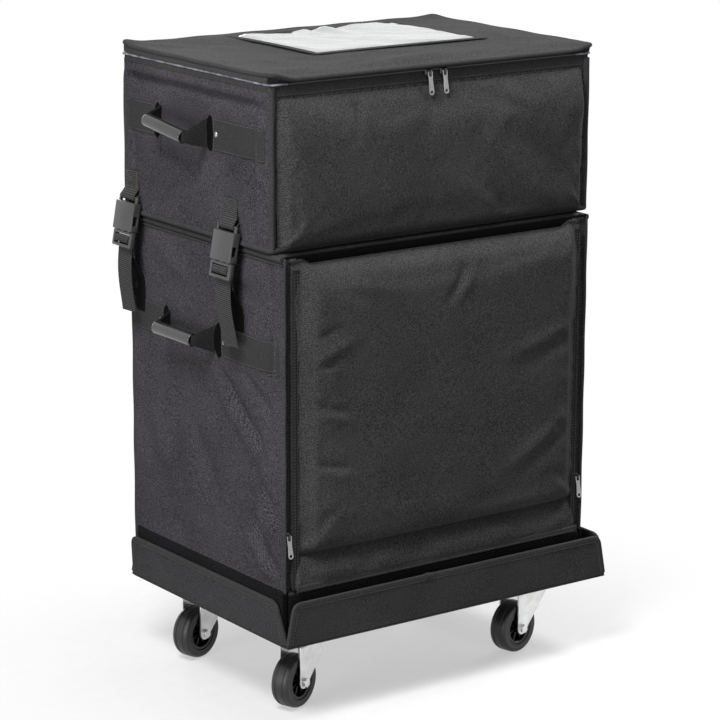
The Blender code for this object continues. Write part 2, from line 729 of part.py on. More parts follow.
def strap_path(wall):
    """From the lower case's wall, round the male's middle bar and down to the free tail."""
    pitch = (MALE_BAR_H + MALE_SLOT_H) / 2
    bar = -(BAR_H / 2 + BAR_SLOT_H + FEMALE_L + REVEAL) - MALE_BAR_H / 2 - 2 * pitch
    bottom = bar - 2 * pitch - MALE_BAR_H / 2
    skin = MALE_T / 2 + WEB_T / 2 + 2 * CLEAR
    outer_skin = skin + WEB_T + 2 * CLEAR
    half_bar = MALE_BAR_H / 2 + CLEAR
    wrap = [(outer_skin, bar - CLEAR), (skin / 2, bar + pitch + CLEAR * 2),
            (-skin / 2, bar + pitch + CLEAR * 2), (-skin, bar + half_bar), (-skin, bar - half_bar),
            (-skin / 2, bar - pitch - CLEAR), (skin / 2, bar - pitch - CLEAR),
            (skin + CLEAR, bar - pitch - half_bar), (skin, bar - 2 * pitch)]
    anchor = wall + CLEAR + WEB_T / 2
    out, high = leaning(outer_skin, bottom - WEB_T)
    anchor_z = LOWER_TOP - ANCHOR_DROP
    rise = [(anchor, anchor_z - ANCHOR_L)]
    for t in (i / STRAP_STEPS for i in range(STRAP_STEPS + 1)):
        rise.append((anchor + (out - anchor) * t * t * (3 - 2 * t),
                     anchor_z + (high - anchor_z) * t))
    out, high = leaning(skin, bottom)
    fall = [(out + TAIL_BOW * math.sin(TAIL_CURL * math.pi * t), high - TAIL_DROP * t)
            for t in (i / STRAP_STEPS for i in range(STRAP_STEPS + 1))]
    return rise + [leaning(*spot) for spot in wrap] + fall


def female_mesh(name):
    """Buckle socket: housing open at the bottom, side windows and a webbing bar on top."""
    half_w, half_t = BUCKLE_W / 2, BUCKLE_T / 2
    top = -(BAR_H / 2 + BAR_SLOT_H)
    bottom = top - FEMALE_L
    body = box(name, (-half_w, -half_t, bottom), (half_w, half_t, top), "buckle_plastic",
               BUCKLE_EDGE_R)
    head = box(name + "_head", (-half_w + HEAD_INSET, -BAR_T / 2, top - HEAD_ROOT),
               (half_w - HEAD_INSET, BAR_T / 2, BAR_H / 2), "buckle_plastic", HEAD_EDGE_R)
    boolean(body, head, "UNION")
    cut_box(body, name + "_slot", (-SLOT_W / 2, -BUCKLE_T, top), (SLOT_W / 2, BUCKLE_T, -BAR_H / 2))
    roof = bottom + PRONG_L + SOCKET_SPARE
    cut_box(body, name + "_socket", (-SOCKET_W / 2, -half_t + FEMALE_WALL, bottom - CUT_MARGIN),
            (SOCKET_W / 2, half_t - FEMALE_BACK, roof))
    window = bottom + WINDOW_SLOT_LOW
    cut_box(body, name + "_windows", (-BUCKLE_W, -half_t + FEMALE_WALL, window),
            (BUCKLE_W, half_t - FEMALE_BACK - FEMALE_WALL, window + WINDOW_SLOT_H))
    return bake(body)


def prong_outline():
    """One side prong seen from the front, rooted at its base and barbed towards its tip."""
    outer = SOCKET_W / 2 - REVEAL
    inner = outer - PRONG_W
    barb = WINDOW_SLOT_LOW - REVEAL
    waist = outer - PRONG_WAIST
    return [(inner, -PRONG_ROOT), (waist, -PRONG_ROOT), (waist, barb - PRONG_TIP), (outer, barb),
            (outer, barb + WINDOW_SLOT_H / 2), (outer - PRONG_TIP, PRONG_L - PRONG_ROOT),
            (waist - PRONG_TIP, PRONG_L), (inner + PRONG_BULGE, PRONG_L - PRONG_TIP),
            (inner - PRONG_BULGE, barb)]


def male_mesh(name):
    """Buckle plug: ladder bars for the strap, two barbed prongs and a centre guide."""
    half_w, half_t = BUCKLE_W / 2, MALE_T / 2
    top = -(BAR_H / 2 + BAR_SLOT_H + FEMALE_L + REVEAL)
    bottom = top - 3 * MALE_BAR_H - 2 * MALE_SLOT_H
    body = box(name, (-half_w, -half_t, bottom), (half_w, half_t, top), "buckle_plastic",
               MALE_EDGE_R)
    for i in range(2):
        high = top - MALE_BAR_H - i * (MALE_SLOT_H + MALE_BAR_H)
        cut_box(body, f"{name}_slot_{i}", (-SLOT_W / 2, -BUCKLE_T, high - MALE_SLOT_H),
                (SLOT_W / 2, BUCKLE_T, high))
    front = -BUCKLE_T / 2 + FEMALE_WALL + CLEAR
    flip = Matrix.Diagonal((-1, 1, 1, 1))
    stand = Matrix.Translation((0, front + PRONG_T / 2, top)) @ Matrix.Rotation(math.pi / 2, 4, "X")
    for label, mirror in (("right", Matrix.Identity(4)), ("left", flip)):
        points = [(mirror @ Vector((x, y, 0)))[:2] for x, y in prong_outline()]
        prong = outline(f"{name}_prong_{label}", points, PRONG_T, "buckle_plastic")
        boolean(body, transform(prong, stand), "UNION")
    guide = box(name + "_guide", (-GUIDE_W / 2, front, top - PRONG_ROOT),
                (GUIDE_W / 2, front + PRONG_T, top + GUIDE_L), "buckle_plastic")
    boolean(body, guide, "UNION")
    return bake(body)


def build_buckles():
    """Four side-release buckles: sockets on the upper case, plugs and straps on the lower."""
    meshes = {}
    makers = {"female": female_mesh, "male": male_mesh}
    for side, end in buckle_places():
        frame = buckle_frame(side, end)
        for piece, maker in makers.items():
            name = f"buckle_{side}{end}_{piece}"
            if piece in meshes:
                part = bpy.data.objects.new(name, meshes[piece])
                PARTS.objects.link(part)
            else:
                part = maker(name)
                meshes[piece] = part.data
            part.matrix_world = frame
        wall = outward(side) * (LOWER_X - UPPER_X) + (LOWER_W - UPPER_W) / 2
        strap_ribbon(f"buckle_{side}{end}_strap", strap_path(wall), side, end)


def loft(name, rings, slot):
    """A solid through matching rings of points, with flat ends."""
    shape = bmesh.new()
    rows = [[shape.verts.new(p) for p in ring] for ring in rings]
    count = len(rows[0])
    for row, following in zip(rows, rows[1:]):
        for i in range(count):
            j = (i + 1) % count
            shape.faces.new((row[i], row[j], following[j], following[i]))
    shape.faces.new(rows[0][::-1])
    shape.faces.new(rows[-1])
    return from_bmesh(name, shape, slot)


def handle_stations():
    """Half of a handle's webbing as (along, out, height, thickness), from tail to middle."""
    half = GRIP_L / 2
    base = half + WING_FLARE
    flat = CLEAR + WEB_T / 2
    flare, lift, narrow = WING_KNEE
    return [(-base - WING_TAIL, flat, WING_H, WEB_T), (-base, flat, WING_H, WEB_T),
            (-half - WING_FLARE * flare, GRIP_STANDOFF * lift, WING_H * narrow, WEB_T * 2),
            (-half - WING_MOUTH, GRIP_STANDOFF, STRAP_CORE_H, STRAP_CORE_T),
            (-half * CORE_REACH, GRIP_STANDOFF, STRAP_CORE_H, STRAP_CORE_T)]


def handle_strap(name, frame):
    """Webbing that leaves the wall as two wings and runs folded through the grip."""
    half = handle_stations()
    stations = half + [(-s, n, h, t) for s, n, h, t in reversed(half)]
    rings = []
    for i, (along, out, height, thick) in enumerate(stations):
        before = stations[max(i - 1, 0)]
        after = stations[min(i + 1, len(stations) - 1)]
        heading = Vector((after[0] - before[0], after[1] - before[1])).normalized()
        side = Vector((-heading.y, heading.x)) * thick / 2
        corners = [(along + s * side.x, out + s * side.y, z * height / 2)
                   for s, z in ((-1, -1), (1, -1), (1, 1), (-1, 1))]
        rings.append([frame @ Vector(c) for c in corners])
    return loft(name, rings, "webbing")


def build_handles():
    """Two carrying handles on each case, one on each side."""
    cases = {"upper": (UPPER_X, UPPER_W, UPPER_Y + UPPER_HANDLE_SHIFT, UPPER_Z + UPPER_HANDLE_RISE),
             "lower": (LOWER_X, LOWER_W, LOWER_Y + LOWER_HANDLE_SHIFT, LOWER_Z + LOWER_HANDLE_RISE)}
    tube = [(GRIP_R, GRIP_L / 2), (GRIP_R, -GRIP_L / 2), (GRIP_BORE_R, -GRIP_L / 2),
            (GRIP_BORE_R, GRIP_L / 2)]
    for case, (middle, width, y, z) in cases.items():
        for side, label in (("l", "left"), ("r", "right")):
            sign = outward(side)
            place = Vector((middle + sign * width / 2, y, z))
            frame = Matrix.Translation(place) @ Matrix(((0, sign, 0, 0), (1, 0, 0, 0),
                                                        (0, 0, 1, 0), (0, 0, 0, 1)))
            axis = pivot(f"handle_{case}_{label}_hinge", place)
            hang_on(handle_strap(f"handle_{case}_{label}_strap", frame), axis)
            grip = lathe(f"handle_{case}_{label}_grip", tube, 16, "grip_plastic")
            transform(grip, Matrix.Translation(place + Vector((sign * GRIP_STANDOFF, 0, 0)))
                      @ Matrix.Rotation(math.radians(90), 4, "X"))
            hang_on(shade_round(grip), axis)


def slider_part(name, size_x, size_z, place):
    """Zip slider with the bridge that carries its pull; its back rests at place."""
    x, y, z = place
    body = box(name, (x - size_x / 2, y - SLIDER_T, z - size_z / 2),
               (x + size_x / 2, y, z + size_z / 2), "slider_metal", SLIDER_EDGE, 1)
    depth = LUG_HOLE_D + LUG_RIM
    face = y - SLIDER_T
    lug = box(name + "_bridge", (x - LUG_T / 2, face - depth, z - LUG_H / 2),
              (x + LUG_T / 2, face + LUG_ROOT, z + LUG_H / 2), "slider_metal")
    cut = box(name + "_bridge_eye", (x - LUG_T, face - LUG_HOLE_D, z - LUG_HOLE_H / 2),
              (x + LUG_T, face, z + LUG_HOLE_H / 2), "slider_metal")
    boolean(body, lug, "UNION")
    boolean(body, cut, "DIFFERENCE")
    return body


def pull_part(name, slider_place):
    """Tapered zip pull with a slot at its bar and a round eye at its tip."""
    x, y, z = slider_place
    bar = Vector((x, y - SLIDER_T - LUG_HOLE_D / 2, z))
    top, tip = PULL_BAR / 2, -PULL_L + PULL_BAR / 2
    eye = (0, tip + PULL_W / 2)
    profile = ([(PULL_W / 2, top), (-PULL_W / 2, top), (-PULL_W * PULL_TAPER, -PULL_L * PULL_WAIST)]
               + arc(eye, PULL_W / 2, 180, 360, 8)
               + [(PULL_W * PULL_TAPER, -PULL_L * PULL_WAIST)])
    pull = outline(name, profile, PULL_T, "slider_metal")
    cut_box(pull, name + "_slot", (-PULL_SLOT_W / 2, -PULL_BAR / 2 - PULL_SLOT_H, -PULL_T),
            (PULL_SLOT_W / 2, -PULL_BAR / 2, PULL_T))
    hole = cylinder(name + "_eye", PULL_EYE_R, 4 * PULL_T, 12)
    transform(hole, Matrix.Translation((*eye, 0)))
    boolean(pull, hole, "DIFFERENCE")
    bake(pull)
    pull.matrix_world = (Matrix.Translation(bar)
                         @ Matrix.Rotation(math.radians(90 - PULL_TILT_DEG), 4, "X"))
    return pull


def build_zips():
    """Sliders and pulls of the lid's zip and of the flap's two side zips."""
    half = SLIDER_W / 2
    lid_z = LID_Z - 2 * CLEAR - half
    for label, x in zip(("left", "right"), LID_SLIDER_X):
        place = (UPPER_X + x, UPPER_FRONT + ZIP_SEAT - CLEAR, lid_z)
        slider_part(f"lid_slider_{label}", SLIDER_L, SLIDER_W, place)
        pull_part(f"lid_pull_{label}", place)
    slit = LOWER_W / 2 - FLAP_LIP_T - FLAP_SLIT_W / 2
    for label, sign in (("left", -1), ("right", 1)):
        place = (LOWER_X + sign * slit, LOWER_FRONT + FLAP_SLIT_DEPTH - CLEAR,
                 FLAP_Z + FLAP_SLIDER_RISE)
        slider_part(f"flap_slider_{label}", SLIDER_W, SLIDER_L, place)
        pull_part(f"flap_pull_{label}", place)


build_base()
build_casters()
build_lower_case()
build_upper_case()
build_buckles()
build_handles()
build_zips()
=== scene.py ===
"""Looks for the two-tier padded transport case: soft panels, webbing, zips, casters and light."""
import math

import bmesh
import bpy
import numpy as np
from mathutils import Matrix, Vector


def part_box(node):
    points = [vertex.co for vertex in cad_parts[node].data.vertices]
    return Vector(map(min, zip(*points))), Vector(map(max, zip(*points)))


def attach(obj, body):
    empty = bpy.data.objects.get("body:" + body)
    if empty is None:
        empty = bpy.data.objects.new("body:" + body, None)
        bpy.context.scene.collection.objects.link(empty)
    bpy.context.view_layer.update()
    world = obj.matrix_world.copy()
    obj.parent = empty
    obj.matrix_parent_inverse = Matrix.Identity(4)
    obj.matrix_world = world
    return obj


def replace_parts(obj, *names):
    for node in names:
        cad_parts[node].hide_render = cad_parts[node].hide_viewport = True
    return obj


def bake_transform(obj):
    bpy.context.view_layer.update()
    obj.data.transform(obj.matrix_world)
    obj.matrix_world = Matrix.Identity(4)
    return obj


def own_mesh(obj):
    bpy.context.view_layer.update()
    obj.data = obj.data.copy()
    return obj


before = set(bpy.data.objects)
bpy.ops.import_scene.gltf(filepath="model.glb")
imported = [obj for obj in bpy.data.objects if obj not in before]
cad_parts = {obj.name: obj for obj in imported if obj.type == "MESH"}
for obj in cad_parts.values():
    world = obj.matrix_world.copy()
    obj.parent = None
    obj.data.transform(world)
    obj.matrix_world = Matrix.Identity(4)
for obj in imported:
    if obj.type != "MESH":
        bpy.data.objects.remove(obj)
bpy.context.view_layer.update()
SCENE = bpy.context.scene
TAU = 2 * math.pi
X, Y, Z = Vector((1, 0, 0)), Vector((0, 1, 0)), Vector((0, 0, 1))

# The frame's main sizes, in metres: upper case, lid, lower case, flap, tray, webbing
UP_L, UP_R, UP_F, UP_B = -0.29, 0.29, -0.178, 0.216
UP_Z, UP_RIM = 0.6972, 0.9367
LID_Z, LID_TOP = 0.9392, 0.9524
LO_L, LO_R, LO_F, LO_B = -0.2837, 0.2723, -0.2023, 0.2117
LO_Z, LO_TOP = 0.1269, 0.6969
LO_X = (LO_L + LO_R) / 2
FLAP_L, FLAP_R = LO_X - 0.2645, LO_X + 0.2645
FLAP_Z, FLAP_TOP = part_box("front_flap")[0].z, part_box("front_flap")[1].z
SILL_TOP = FLAP_Z - 0.0012
SLIT_Y = LO_F + 0.008
TRAY_X, TRAY_Z = 0.012, 0.1206
SKIRT_T, SKIRT_H, SKIRT_CUT = 0.004, 0.066, 0.011
STRAP_W, WEB_T = 0.038, 0.0016
HANDLES = {"upper": (UP_L, UP_R, 0.045, 0.85), "lower": (LO_L, LO_R, 0.035, 0.545)}
BUCKLE_Y = {"f": -0.082, "b": 0.188}

# Each side's directions along it, up and out; and a side, its place in a pair, the way inwards
SIDES = {"left": (-Y, Z, -X), "right": (Y, Z, X), "back": (-X, Z, Y), "front": (X, Z, -Y)}
LEFT_RIGHT = (("left", 0, 1), ("right", 1, -1))


# Materials

class Nodes:
    """Short calls that add nodes to the tree of a material or the world."""

    def __init__(self, tree):
        self.nodes, self.link = tree.nodes, tree.links.new

    def put(self, socket, value):
        """Set a socket to a value, or link it to another socket."""
        if isinstance(value, bpy.types.NodeSocket):
            self.link(value, socket)
        else:
            socket.default_value = value

    def feed(self, node, **inputs):
        """Set or link a node's inputs by their names."""
        for key, value in inputs.items():
            self.put(node.inputs[key.replace("_", " ").title().replace("Ior", "IOR")], value)
        return node

    def add(self, kind, **inputs):
        return self.feed(self.nodes.new(f"ShaderNode{kind}"), **inputs)

    def math(self, operation, *values):
        """A maths node fed by sockets or numbers."""
        made = self.add("Math")
        made.operation = operation
        for socket, value in zip(made.inputs, values):
            self.put(socket, value)
        return made.outputs[0]

    def plus(self, a, share, b):
        """A share of a, added to b."""
        return self.math("ADD", self.math("MULTIPLY", a, share), b)

    def spot(self):
        """The piece's own coordinates."""
        return self.add("TexCoord").outputs["Object"]

    def noise(self, vector, scale, detail=2.0, stretch=None):
        """Noise over a piece, stretched along an axis if asked."""
        if stretch:
            vector = self.add("Mapping", scale=stretch, vector=vector).outputs["Vector"]
        return self.add("TexNoise", scale=scale, detail=detail, vector=vector).outputs["Fac"]

    def ramp(self, value, low, high, dark, light):
        """Two colours mixed by a value between low and high."""
        made = self.add("ValToRGB", fac=value)
        for k, (position, colour) in enumerate(((low, dark), (high, light))):
            made.color_ramp.elements[k].position = position
            made.color_ramp.elements[k].color = (*colour, 1)
        return made.outputs[0]

    def bump(self, target, height, strength, distance):
        made = self.add("Bump", strength=strength, distance=distance, height=height)
        self.feed(target, normal=made.outputs[0])


def shader(name, colour, roughness, metallic=0.0, **sockets):
    """A Principled material, the calls that add to its tree, and its main node."""
    made = bpy.data.materials.new(name)
    made.use_nodes = True
    made.diffuse_color = (*colour, 1.0)
    tree = Nodes(made.node_tree)
    node = tree.feed(tree.nodes["Principled BSDF"], base_color=(*colour, 1.0), roughness=roughness,
                     metallic=metallic, **sockets)
    return made, tree, node


def grey(value, tint=(1.0, 1.0, 1.0)):
    """A grey level as a colour, with a slight tint."""
    return tuple(value * share for share in tint)


# PAINTED_SHEEN_PURPLE is painted sheen: the purple cast of the left lamp on the side walls and their
# loop tape, put into the cloth colour
PAINTED_SHEEN_PURPLE, NEUTRAL, WARM = (1.0, 0.945, 1.06), (1.0, 0.995, 1.0), (1.0, 0.985, 0.95)


def woven(name, tone, pitch, grain, tint=NEUTRAL, roughness=0.85, contrast=0.6):
    """Woven synthetic cloth: twill lines on any plane, bright flecks and slow tone changes."""
    made, tree, node = shader(name, grey(tone, tint), roughness, specular_ior_level=0.04)
    spot = tree.spot()
    x, y, z = tree.add("SeparateXYZ", vector=spot).outputs
    slanted = tree.math("SUBTRACT", tree.math("MULTIPLY", z, 0.8), tree.math("ADD", x, y))
    lines = tree.math("SINE", tree.math("MULTIPLY", slanted, TAU / pitch))
    fine = tree.noise(spot, grain)
    mixed = tree.plus(tree.noise(spot, 9.0, 3.0), 0.2, tree.plus(lines, 0.05, fine))
    dark, light = (grey(tone * share, tint) for share in (1 - contrast, 1 + contrast))
    tree.feed(node, base_color=tree.ramp(mixed, 0.38, 0.84, dark, light))
    tree.bump(node, tree.plus(lines, 0.3, fine), 0.16, 0.0006)
    return made


def ribbed(name, tone, pitch, axis):
    """Narrow webbing: cross ribs along one axis with a finer grain."""
    made, tree, node = shader(name, grey(tone), 0.7, specular_ior_level=0.1)
    spot = tree.spot()
    place = tree.add("SeparateXYZ", vector=spot).outputs[axis]
    rib = tree.math("SINE", tree.math("MULTIPLY", place, TAU / pitch))
    fine = tree.noise(spot, 1100)
    colour = tree.ramp(tree.plus(rib, 0.22, fine), 0.25, 0.8, grey(tone * 0.35), grey(tone * 1.9))
    tree.feed(node, base_color=colour)
    tree.bump(node, tree.plus(rib, 0.6, fine), 0.6, 0.0006)
    return made


def grained(name, colour, roughness, metallic=0.0, scale=300.0, contrast=0.25, depth=0.0002,
            stretch=None, **sockets):
    """Moulded plastic, rubber or metal: fine grain in colour, roughness and bump."""
    made, tree, node = shader(name, colour, roughness, metallic, **sockets)
    spot = tree.spot()
    fine = tree.noise(spot, scale, 4.0, stretch)
    mixed = tree.plus(fine, 0.6, tree.math("MULTIPLY", tree.noise(spot, 35.0, 3.0), 0.4))
    dark = tuple(c * (1 - contrast) for c in colour)
    light = tuple(min(c * (1 + contrast), 1.0) for c in colour)
    rough = tree.add("MapRange", value=mixed, to_min=max(roughness - 0.1, 0.05),
                     to_max=min(roughness + 0.12, 1.0))
    tree.feed(node, base_color=tree.ramp(mixed, 0.35, 0.65, dark, light), roughness=rough.outputs[0])
    tree.bump(node, fine, 0.25, depth)
    return made


M = {
    # case_fabric is the pad cloth again, with the painted purple sheen of the side walls
    "fabric": woven("case_fabric", 0.06, 0.0026, 560, PAINTED_SHEEN_PURPLE, contrast=0.85),
    "pad": woven("pad_fabric", 0.06, 0.0026, 560, contrast=0.65),
    "skirt": woven("skirt_fabric", 0.056, 0.0026, 560, (1.0, 0.97, 1.02), contrast=0.5),
    "binding": woven("binding_tape", 0.054, 0.002, 700, contrast=0.45),
    "edging": woven("flap_edging", 0.032, 0.002, 700, contrast=0.5),
    "lining": woven("lining_fabric", 0.03, 0.0024, 600),
    "loop": woven("loop_tape", 0.014, 0.0022, 520, PAINTED_SHEEN_PURPLE, roughness=0.95, contrast=0.95),
    # Near-black painted shade for the slits, gaps, seams and handle slots where shade falls; the corner
    # tapes use it too
    "dark": woven("painted_shade_black", 0.004, 0.0022, 600, roughness=0.95),
    "webbing_z": ribbed("webbing_upright", 0.044, 0.003, 2),
    "webbing_y": woven("webbing_level", 0.046, 0.0016, 900, contrast=0.45),
    # Near-black webbing that paints the shade on each strap's rise behind its tail
    "webbing_painted_shade": woven("webbing_shaded", 0.008, 0.0016, 900, contrast=0.5),
    "wing": woven("handle_webbing", 0.024, 0.0016, 900, contrast=0.5),
    "thread": grained("sewing_thread", grey(0.11, WARM), 0.6, scale=2000, contrast=0.5,
                      specular_ior_level=0.2),
    "tape": woven("zip_tape", 0.05, 0.002, 900),
    "coil": grained("zip_coil", (0.24, 0.23, 0.27), 0.32, 0.4, scale=60, contrast=0.8),
    "coil_black": grained("zip_coil_black", (0.045, 0.045, 0.046), 0.35, scale=900),
    "buckle": grained("buckle_nylon", (0.05, 0.05, 0.051), 0.36, scale=700, depth=0.0001),
    "grip": grained("grip_tube", (0.022, 0.022, 0.0215), 0.15, scale=260, stretch=(1, 0.08, 1),
                    specular_ior_level=0.8),
    "zinc": grained("zinc_plate", (0.78, 0.79, 0.78), 0.3, 0.8, scale=60, contrast=0.14),
    "gunmetal": grained("gunmetal", (0.07, 0.07, 0.072), 0.28, 0.85, scale=500, contrast=0.35),
    "nickel": grained("nickel_rivet", (0.3, 0.3, 0.3), 0.3, 1.0, scale=400, contrast=0.2),
    "hub": grained("hub_nylon", (0.006, 0.006, 0.0065), 0.3, scale=500),
    "tyre": grained("tyre_rubber", (0.014, 0.014, 0.0145), 0.42, scale=420, contrast=0.35),
    "board": grained("board_ply", (0.06, 0.05, 0.04), 0.7, scale=90, contrast=0.4,
                     stretch=(0.1, 1, 1)),
    "vinyl": grained("window_vinyl", (0.4, 0.405, 0.41), 0.2, scale=38, contrast=0.1,
                     coat_weight=0.6, coat_roughness=0.06),
}


# Mesh helpers

def in_scene(name, data):
    """An object of the scene with the given data."""
    made = bpy.data.objects.new(name, data)
    SCENE.collection.objects.link(made)
    return made


def finish_piece(name, mesh, material, body, slot="fabric", sharp_deg=45.0, ride=True):
    """Turn a mesh into a piece that rides on a body."""
    mesh.materials.clear()
    mesh.materials.append(M[material])
    mesh.shade_smooth()
    mesh.set_sharp_from_angle(angle=math.radians(sharp_deg))
    made = in_scene(name, mesh)
    if ride:
        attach(made, body)
    return made


def quads(ids):
    """The faces of a grid of point numbers."""
    corners = ids[:-1, :-1], ids[1:, :-1], ids[1:, 1:], ids[:-1, 1:]
    return np.stack(corners, -1).reshape(-1, 4).tolist()


class Shape:
    """Collects grids of points into one welded mesh."""

    def __init__(self):
        self.points, self.faces, self.count = [], [], 0

    def grid(self, points, wrap_u=False, wrap_v=False):
        """Faces over a grid of points, closed round in either direction if asked."""
        points = np.asarray(points, float)
        rows, columns = points.shape[:2]
        ids = self.count + np.arange(rows * columns).reshape(rows, columns)
        if wrap_u:
            ids = np.vstack([ids, ids[:1]])
        if wrap_v:
            ids = np.hstack([ids, ids[:, :1]])
        self.faces += quads(ids)
        self.points.append(points.reshape(-1, 3))
        self.count += rows * columns
        return self

    def solid(self, points, faces):
        """Faces over loose points."""
        self.faces += [[self.count + i for i in face] for face in faces]
        self.points.append(np.asarray(points, float))
        self.count += len(points)
        return self

    def cap(self, ring):
        return self.solid(ring, [range(len(ring))])

    def sweep(self, path, across, profile, closed=False):
        """A profile carried along a path and capped at its open ends."""
        rings = carried(path, across, profile, closed)
        self.grid(rings, wrap_u=closed, wrap_v=True)
        return self if closed else self.cap(rings[0]).cap(rings[-1])

    def lathe(self, profile, steps, place, closed=True):
        """A profile of (radius, height) in millimetres, turned about the Z axis of a placed frame."""
        radius, height = np.array(profile, float).T / 1000
        turn = np.linspace(0, TAU, steps, endpoint=False)
        points = np.stack([np.outer(np.cos(turn), radius), np.outer(np.sin(turn), radius),
                           np.broadcast_to(height, (steps, len(height)))], -1)
        return self.grid(moved(points, place), wrap_u=True, wrap_v=closed)

    def piece(self, name, material, body, slot="fabric", weld=1e-6, **more):
        """Weld the shape and finish it as a piece."""
        mesh = bpy.data.meshes.new(name)
        mesh.from_pydata(np.concatenate(self.points).tolist(), [], self.faces)
        shape = bmesh.new()
        shape.from_mesh(mesh)
        if weld:
            bmesh.ops.remove_doubles(shape, verts=shape.verts, dist=weld)
        bmesh.ops.dissolve_degenerate(shape, edges=shape.edges, dist=1e-7)
        bmesh.ops.recalc_face_normals(shape, faces=shape.faces)
        shape.to_mesh(mesh)
        shape.free()
        return finish_piece(name, mesh, material, body, slot, **more)


def spread(low, high, edge, edge_count, coarse):
    """Positions along a side, crowded towards both ends."""
    turn = np.linspace(0, math.pi / 2, edge_count + 1)
    start = low + edge * (1 - np.cos(turn))
    middle = np.linspace(low + edge, high - edge, max(2, round((high - low - 2 * edge) / coarse)) + 1)
    return np.concatenate([start[:-1], middle, (low + high - start[:-1])[::-1]])


def dome(distance, radius, power=2.0):
    """Rises from 0 at an edge to 1 at radius from it, upright at the edge."""
    share = np.clip(distance / radius, 0, 1)
    return (1 - (1 - share) ** power) ** (1 / power)


def chamfer(distance, radius):
    """Rises from 0 at an edge to 1 at radius from it, in a straight slope with a soft shoulder."""
    soft = 0.06
    share = np.maximum(distance, 0) / radius
    return -soft * np.log(np.exp(-share / soft) + math.exp(-1 / soft))


def smooth(value, low, high):
    """Rises from 0 at low to 1 at high, level at both."""
    share = np.clip((value - low) / (high - low), 0, 1)
    return share * share * (3 - 2 * share)


def ripple(u, v, size, seed, lean=None):
    """Smooth wandering waves of about the given size; lean narrows their direction."""
    draw = np.random.default_rng(seed)
    count = 9
    total = np.zeros_like(u)
    for _ in range(count):
        angle = draw.uniform(0, math.pi) if lean is None else lean + draw.normal(0, 0.25)
        wave = TAU / (size * draw.uniform(0.7, 1.6))
        total += np.sin(wave * (u * math.cos(angle) + v * math.sin(angle)) + draw.uniform(0, TAU))
    return total / math.sqrt(count)


def folds(u, v, lines):
    """Creases and ridges that fade to their ends.

    Each line is (u0, v0, u1, v1, width, height) in millimetres.
    """
    total = np.zeros_like(u)
    for u0, v0, u1, v1, width, height in np.array(lines, float).reshape(-1, 6) / 1000:
        length = math.hypot(u1 - u0, v1 - v0)
        along = ((u - u0) * (u1 - u0) + (v - v0) * (v1 - v0)) / length ** 2
        across = ((u - u0) * (v1 - v0) - (v - v0) * (u1 - u0)) / length
        fade = smooth(along, -0.1, 0.25) * (1 - smooth(along, 0.45, 1.1))
        total += height * np.exp(-(across / width) ** 2) * fade
    return total


def in_plane(plane, u, v, out):
    """Points at (u, v) in a plane (origin, along, up, out), raised out of it."""
    origin, along, up, normal = (np.array(part, float) for part in plane)
    u, v, out = np.broadcast_arrays(u, v, out)
    return origin + u[..., None] * along + v[..., None] * up + out[..., None] * normal


class Panel:
    """A grid over a rectangle in a plane, with round corners; d is the distance to its edge."""

    def __init__(self, plane, low, high, corner=0.004, edge=0.02, edge_count=8, coarse=0.006,
                 low_corner=None):
        self.plane = plane
        sides = (spread(a, b, edge, edge_count, coarse) for a, b in zip(low, high))
        self.u, self.v = np.meshgrid(*sides, indexing="ij")
        self.left, self.right = self.u - low[0], high[0] - self.u
        self.below, self.above = self.v - low[1], high[1] - self.v
        self.d = np.minimum.reduce([self.left, self.right, self.below, self.above])
        self.pu, self.pv = self.u.copy(), self.v.copy()
        for su in (-1, 1):
            for sv in (-1, 1):
                size = corner if sv > 0 or low_corner is None else low_corner
                cu = (low[0] + size) if su < 0 else (high[0] - size)
                cv = (low[1] + size) if sv < 0 else (high[1] - size)
                du, dv = (self.u - cu) * su, (self.v - cv) * sv
                inside = (du > 0) & (dv > 0)
                reach = np.maximum(du, dv)[inside] / np.hypot(du, dv)[inside]
                self.pu[inside] = cu + su * reach * du[inside]
                self.pv[inside] = cv + sv * reach * dv[inside]

    def slab(self, name, front, back, material, body, slot="fabric", settle_cap=0.0, held=False):
        """A closed panel between two heights that meet at its edge.

        With a settle_cap its front settles as cloth, save at its edge and where it is held.
        """
        border = self.d < 1e-9
        back = np.where(border, front, back)
        face = in_plane(self.plane, self.pu, self.pv, front)
        if settle_cap:
            face = settle(face, border | held, settle_cap)
        shape = Shape().grid(face).grid(in_plane(self.plane, self.pu, self.pv, back))
        return shape.piece(name, material, body, slot)


CLOTH_FRAMES = 20
CLOTH_PRESSURE = 4.0
CLOTH_SLACK = -0.006


def settle(points, held, cap):
    """Swell a grid of fabric, held at its border, by a cloth simulation; no point moves past cap."""
    ids = np.arange(points[..., 0].size).reshape(points.shape[:2])
    mesh = bpy.data.meshes.new("cloth_trial")
    mesh.from_pydata(points.reshape(-1, 3).tolist(), [], quads(ids))
    trial = in_scene("cloth_trial", mesh)
    trial.vertex_groups.new(name="held").add(ids[held].tolist(), 1.0, "REPLACE")
    cloth = trial.modifiers.new("cloth", "CLOTH")
    cloth.settings.vertex_group_mass = "held"
    cloth.settings.use_pressure = True
    cloth.settings.uniform_pressure_force = CLOTH_PRESSURE
    cloth.settings.shrink_min = CLOTH_SLACK
    cloth.settings.effector_weights.gravity = 0
    cloth.collision_settings.use_collision = False
    cloth.point_cache.frame_start = 1
    cloth.point_cache.frame_end = CLOTH_FRAMES
    for step in range(1, CLOTH_FRAMES + 1):
        SCENE.frame_set(step)
    result = trial.evaluated_get(bpy.context.evaluated_depsgraph_get()).data
    flat = np.empty(points.size)
    result.vertices.foreach_get("co", flat)
    bpy.data.objects.remove(trial, do_unlink=True)
    bpy.data.meshes.remove(mesh)
    SCENE.frame_set(1)
    shift = flat.reshape(points.shape) - points
    size = np.linalg.norm(shift, axis=-1, keepdims=True)
    return points + shift * cap * np.tanh(size / cap) / np.maximum(size, 1e-9)


def unit(vectors):
    return vectors / np.linalg.norm(vectors, axis=1, keepdims=True)


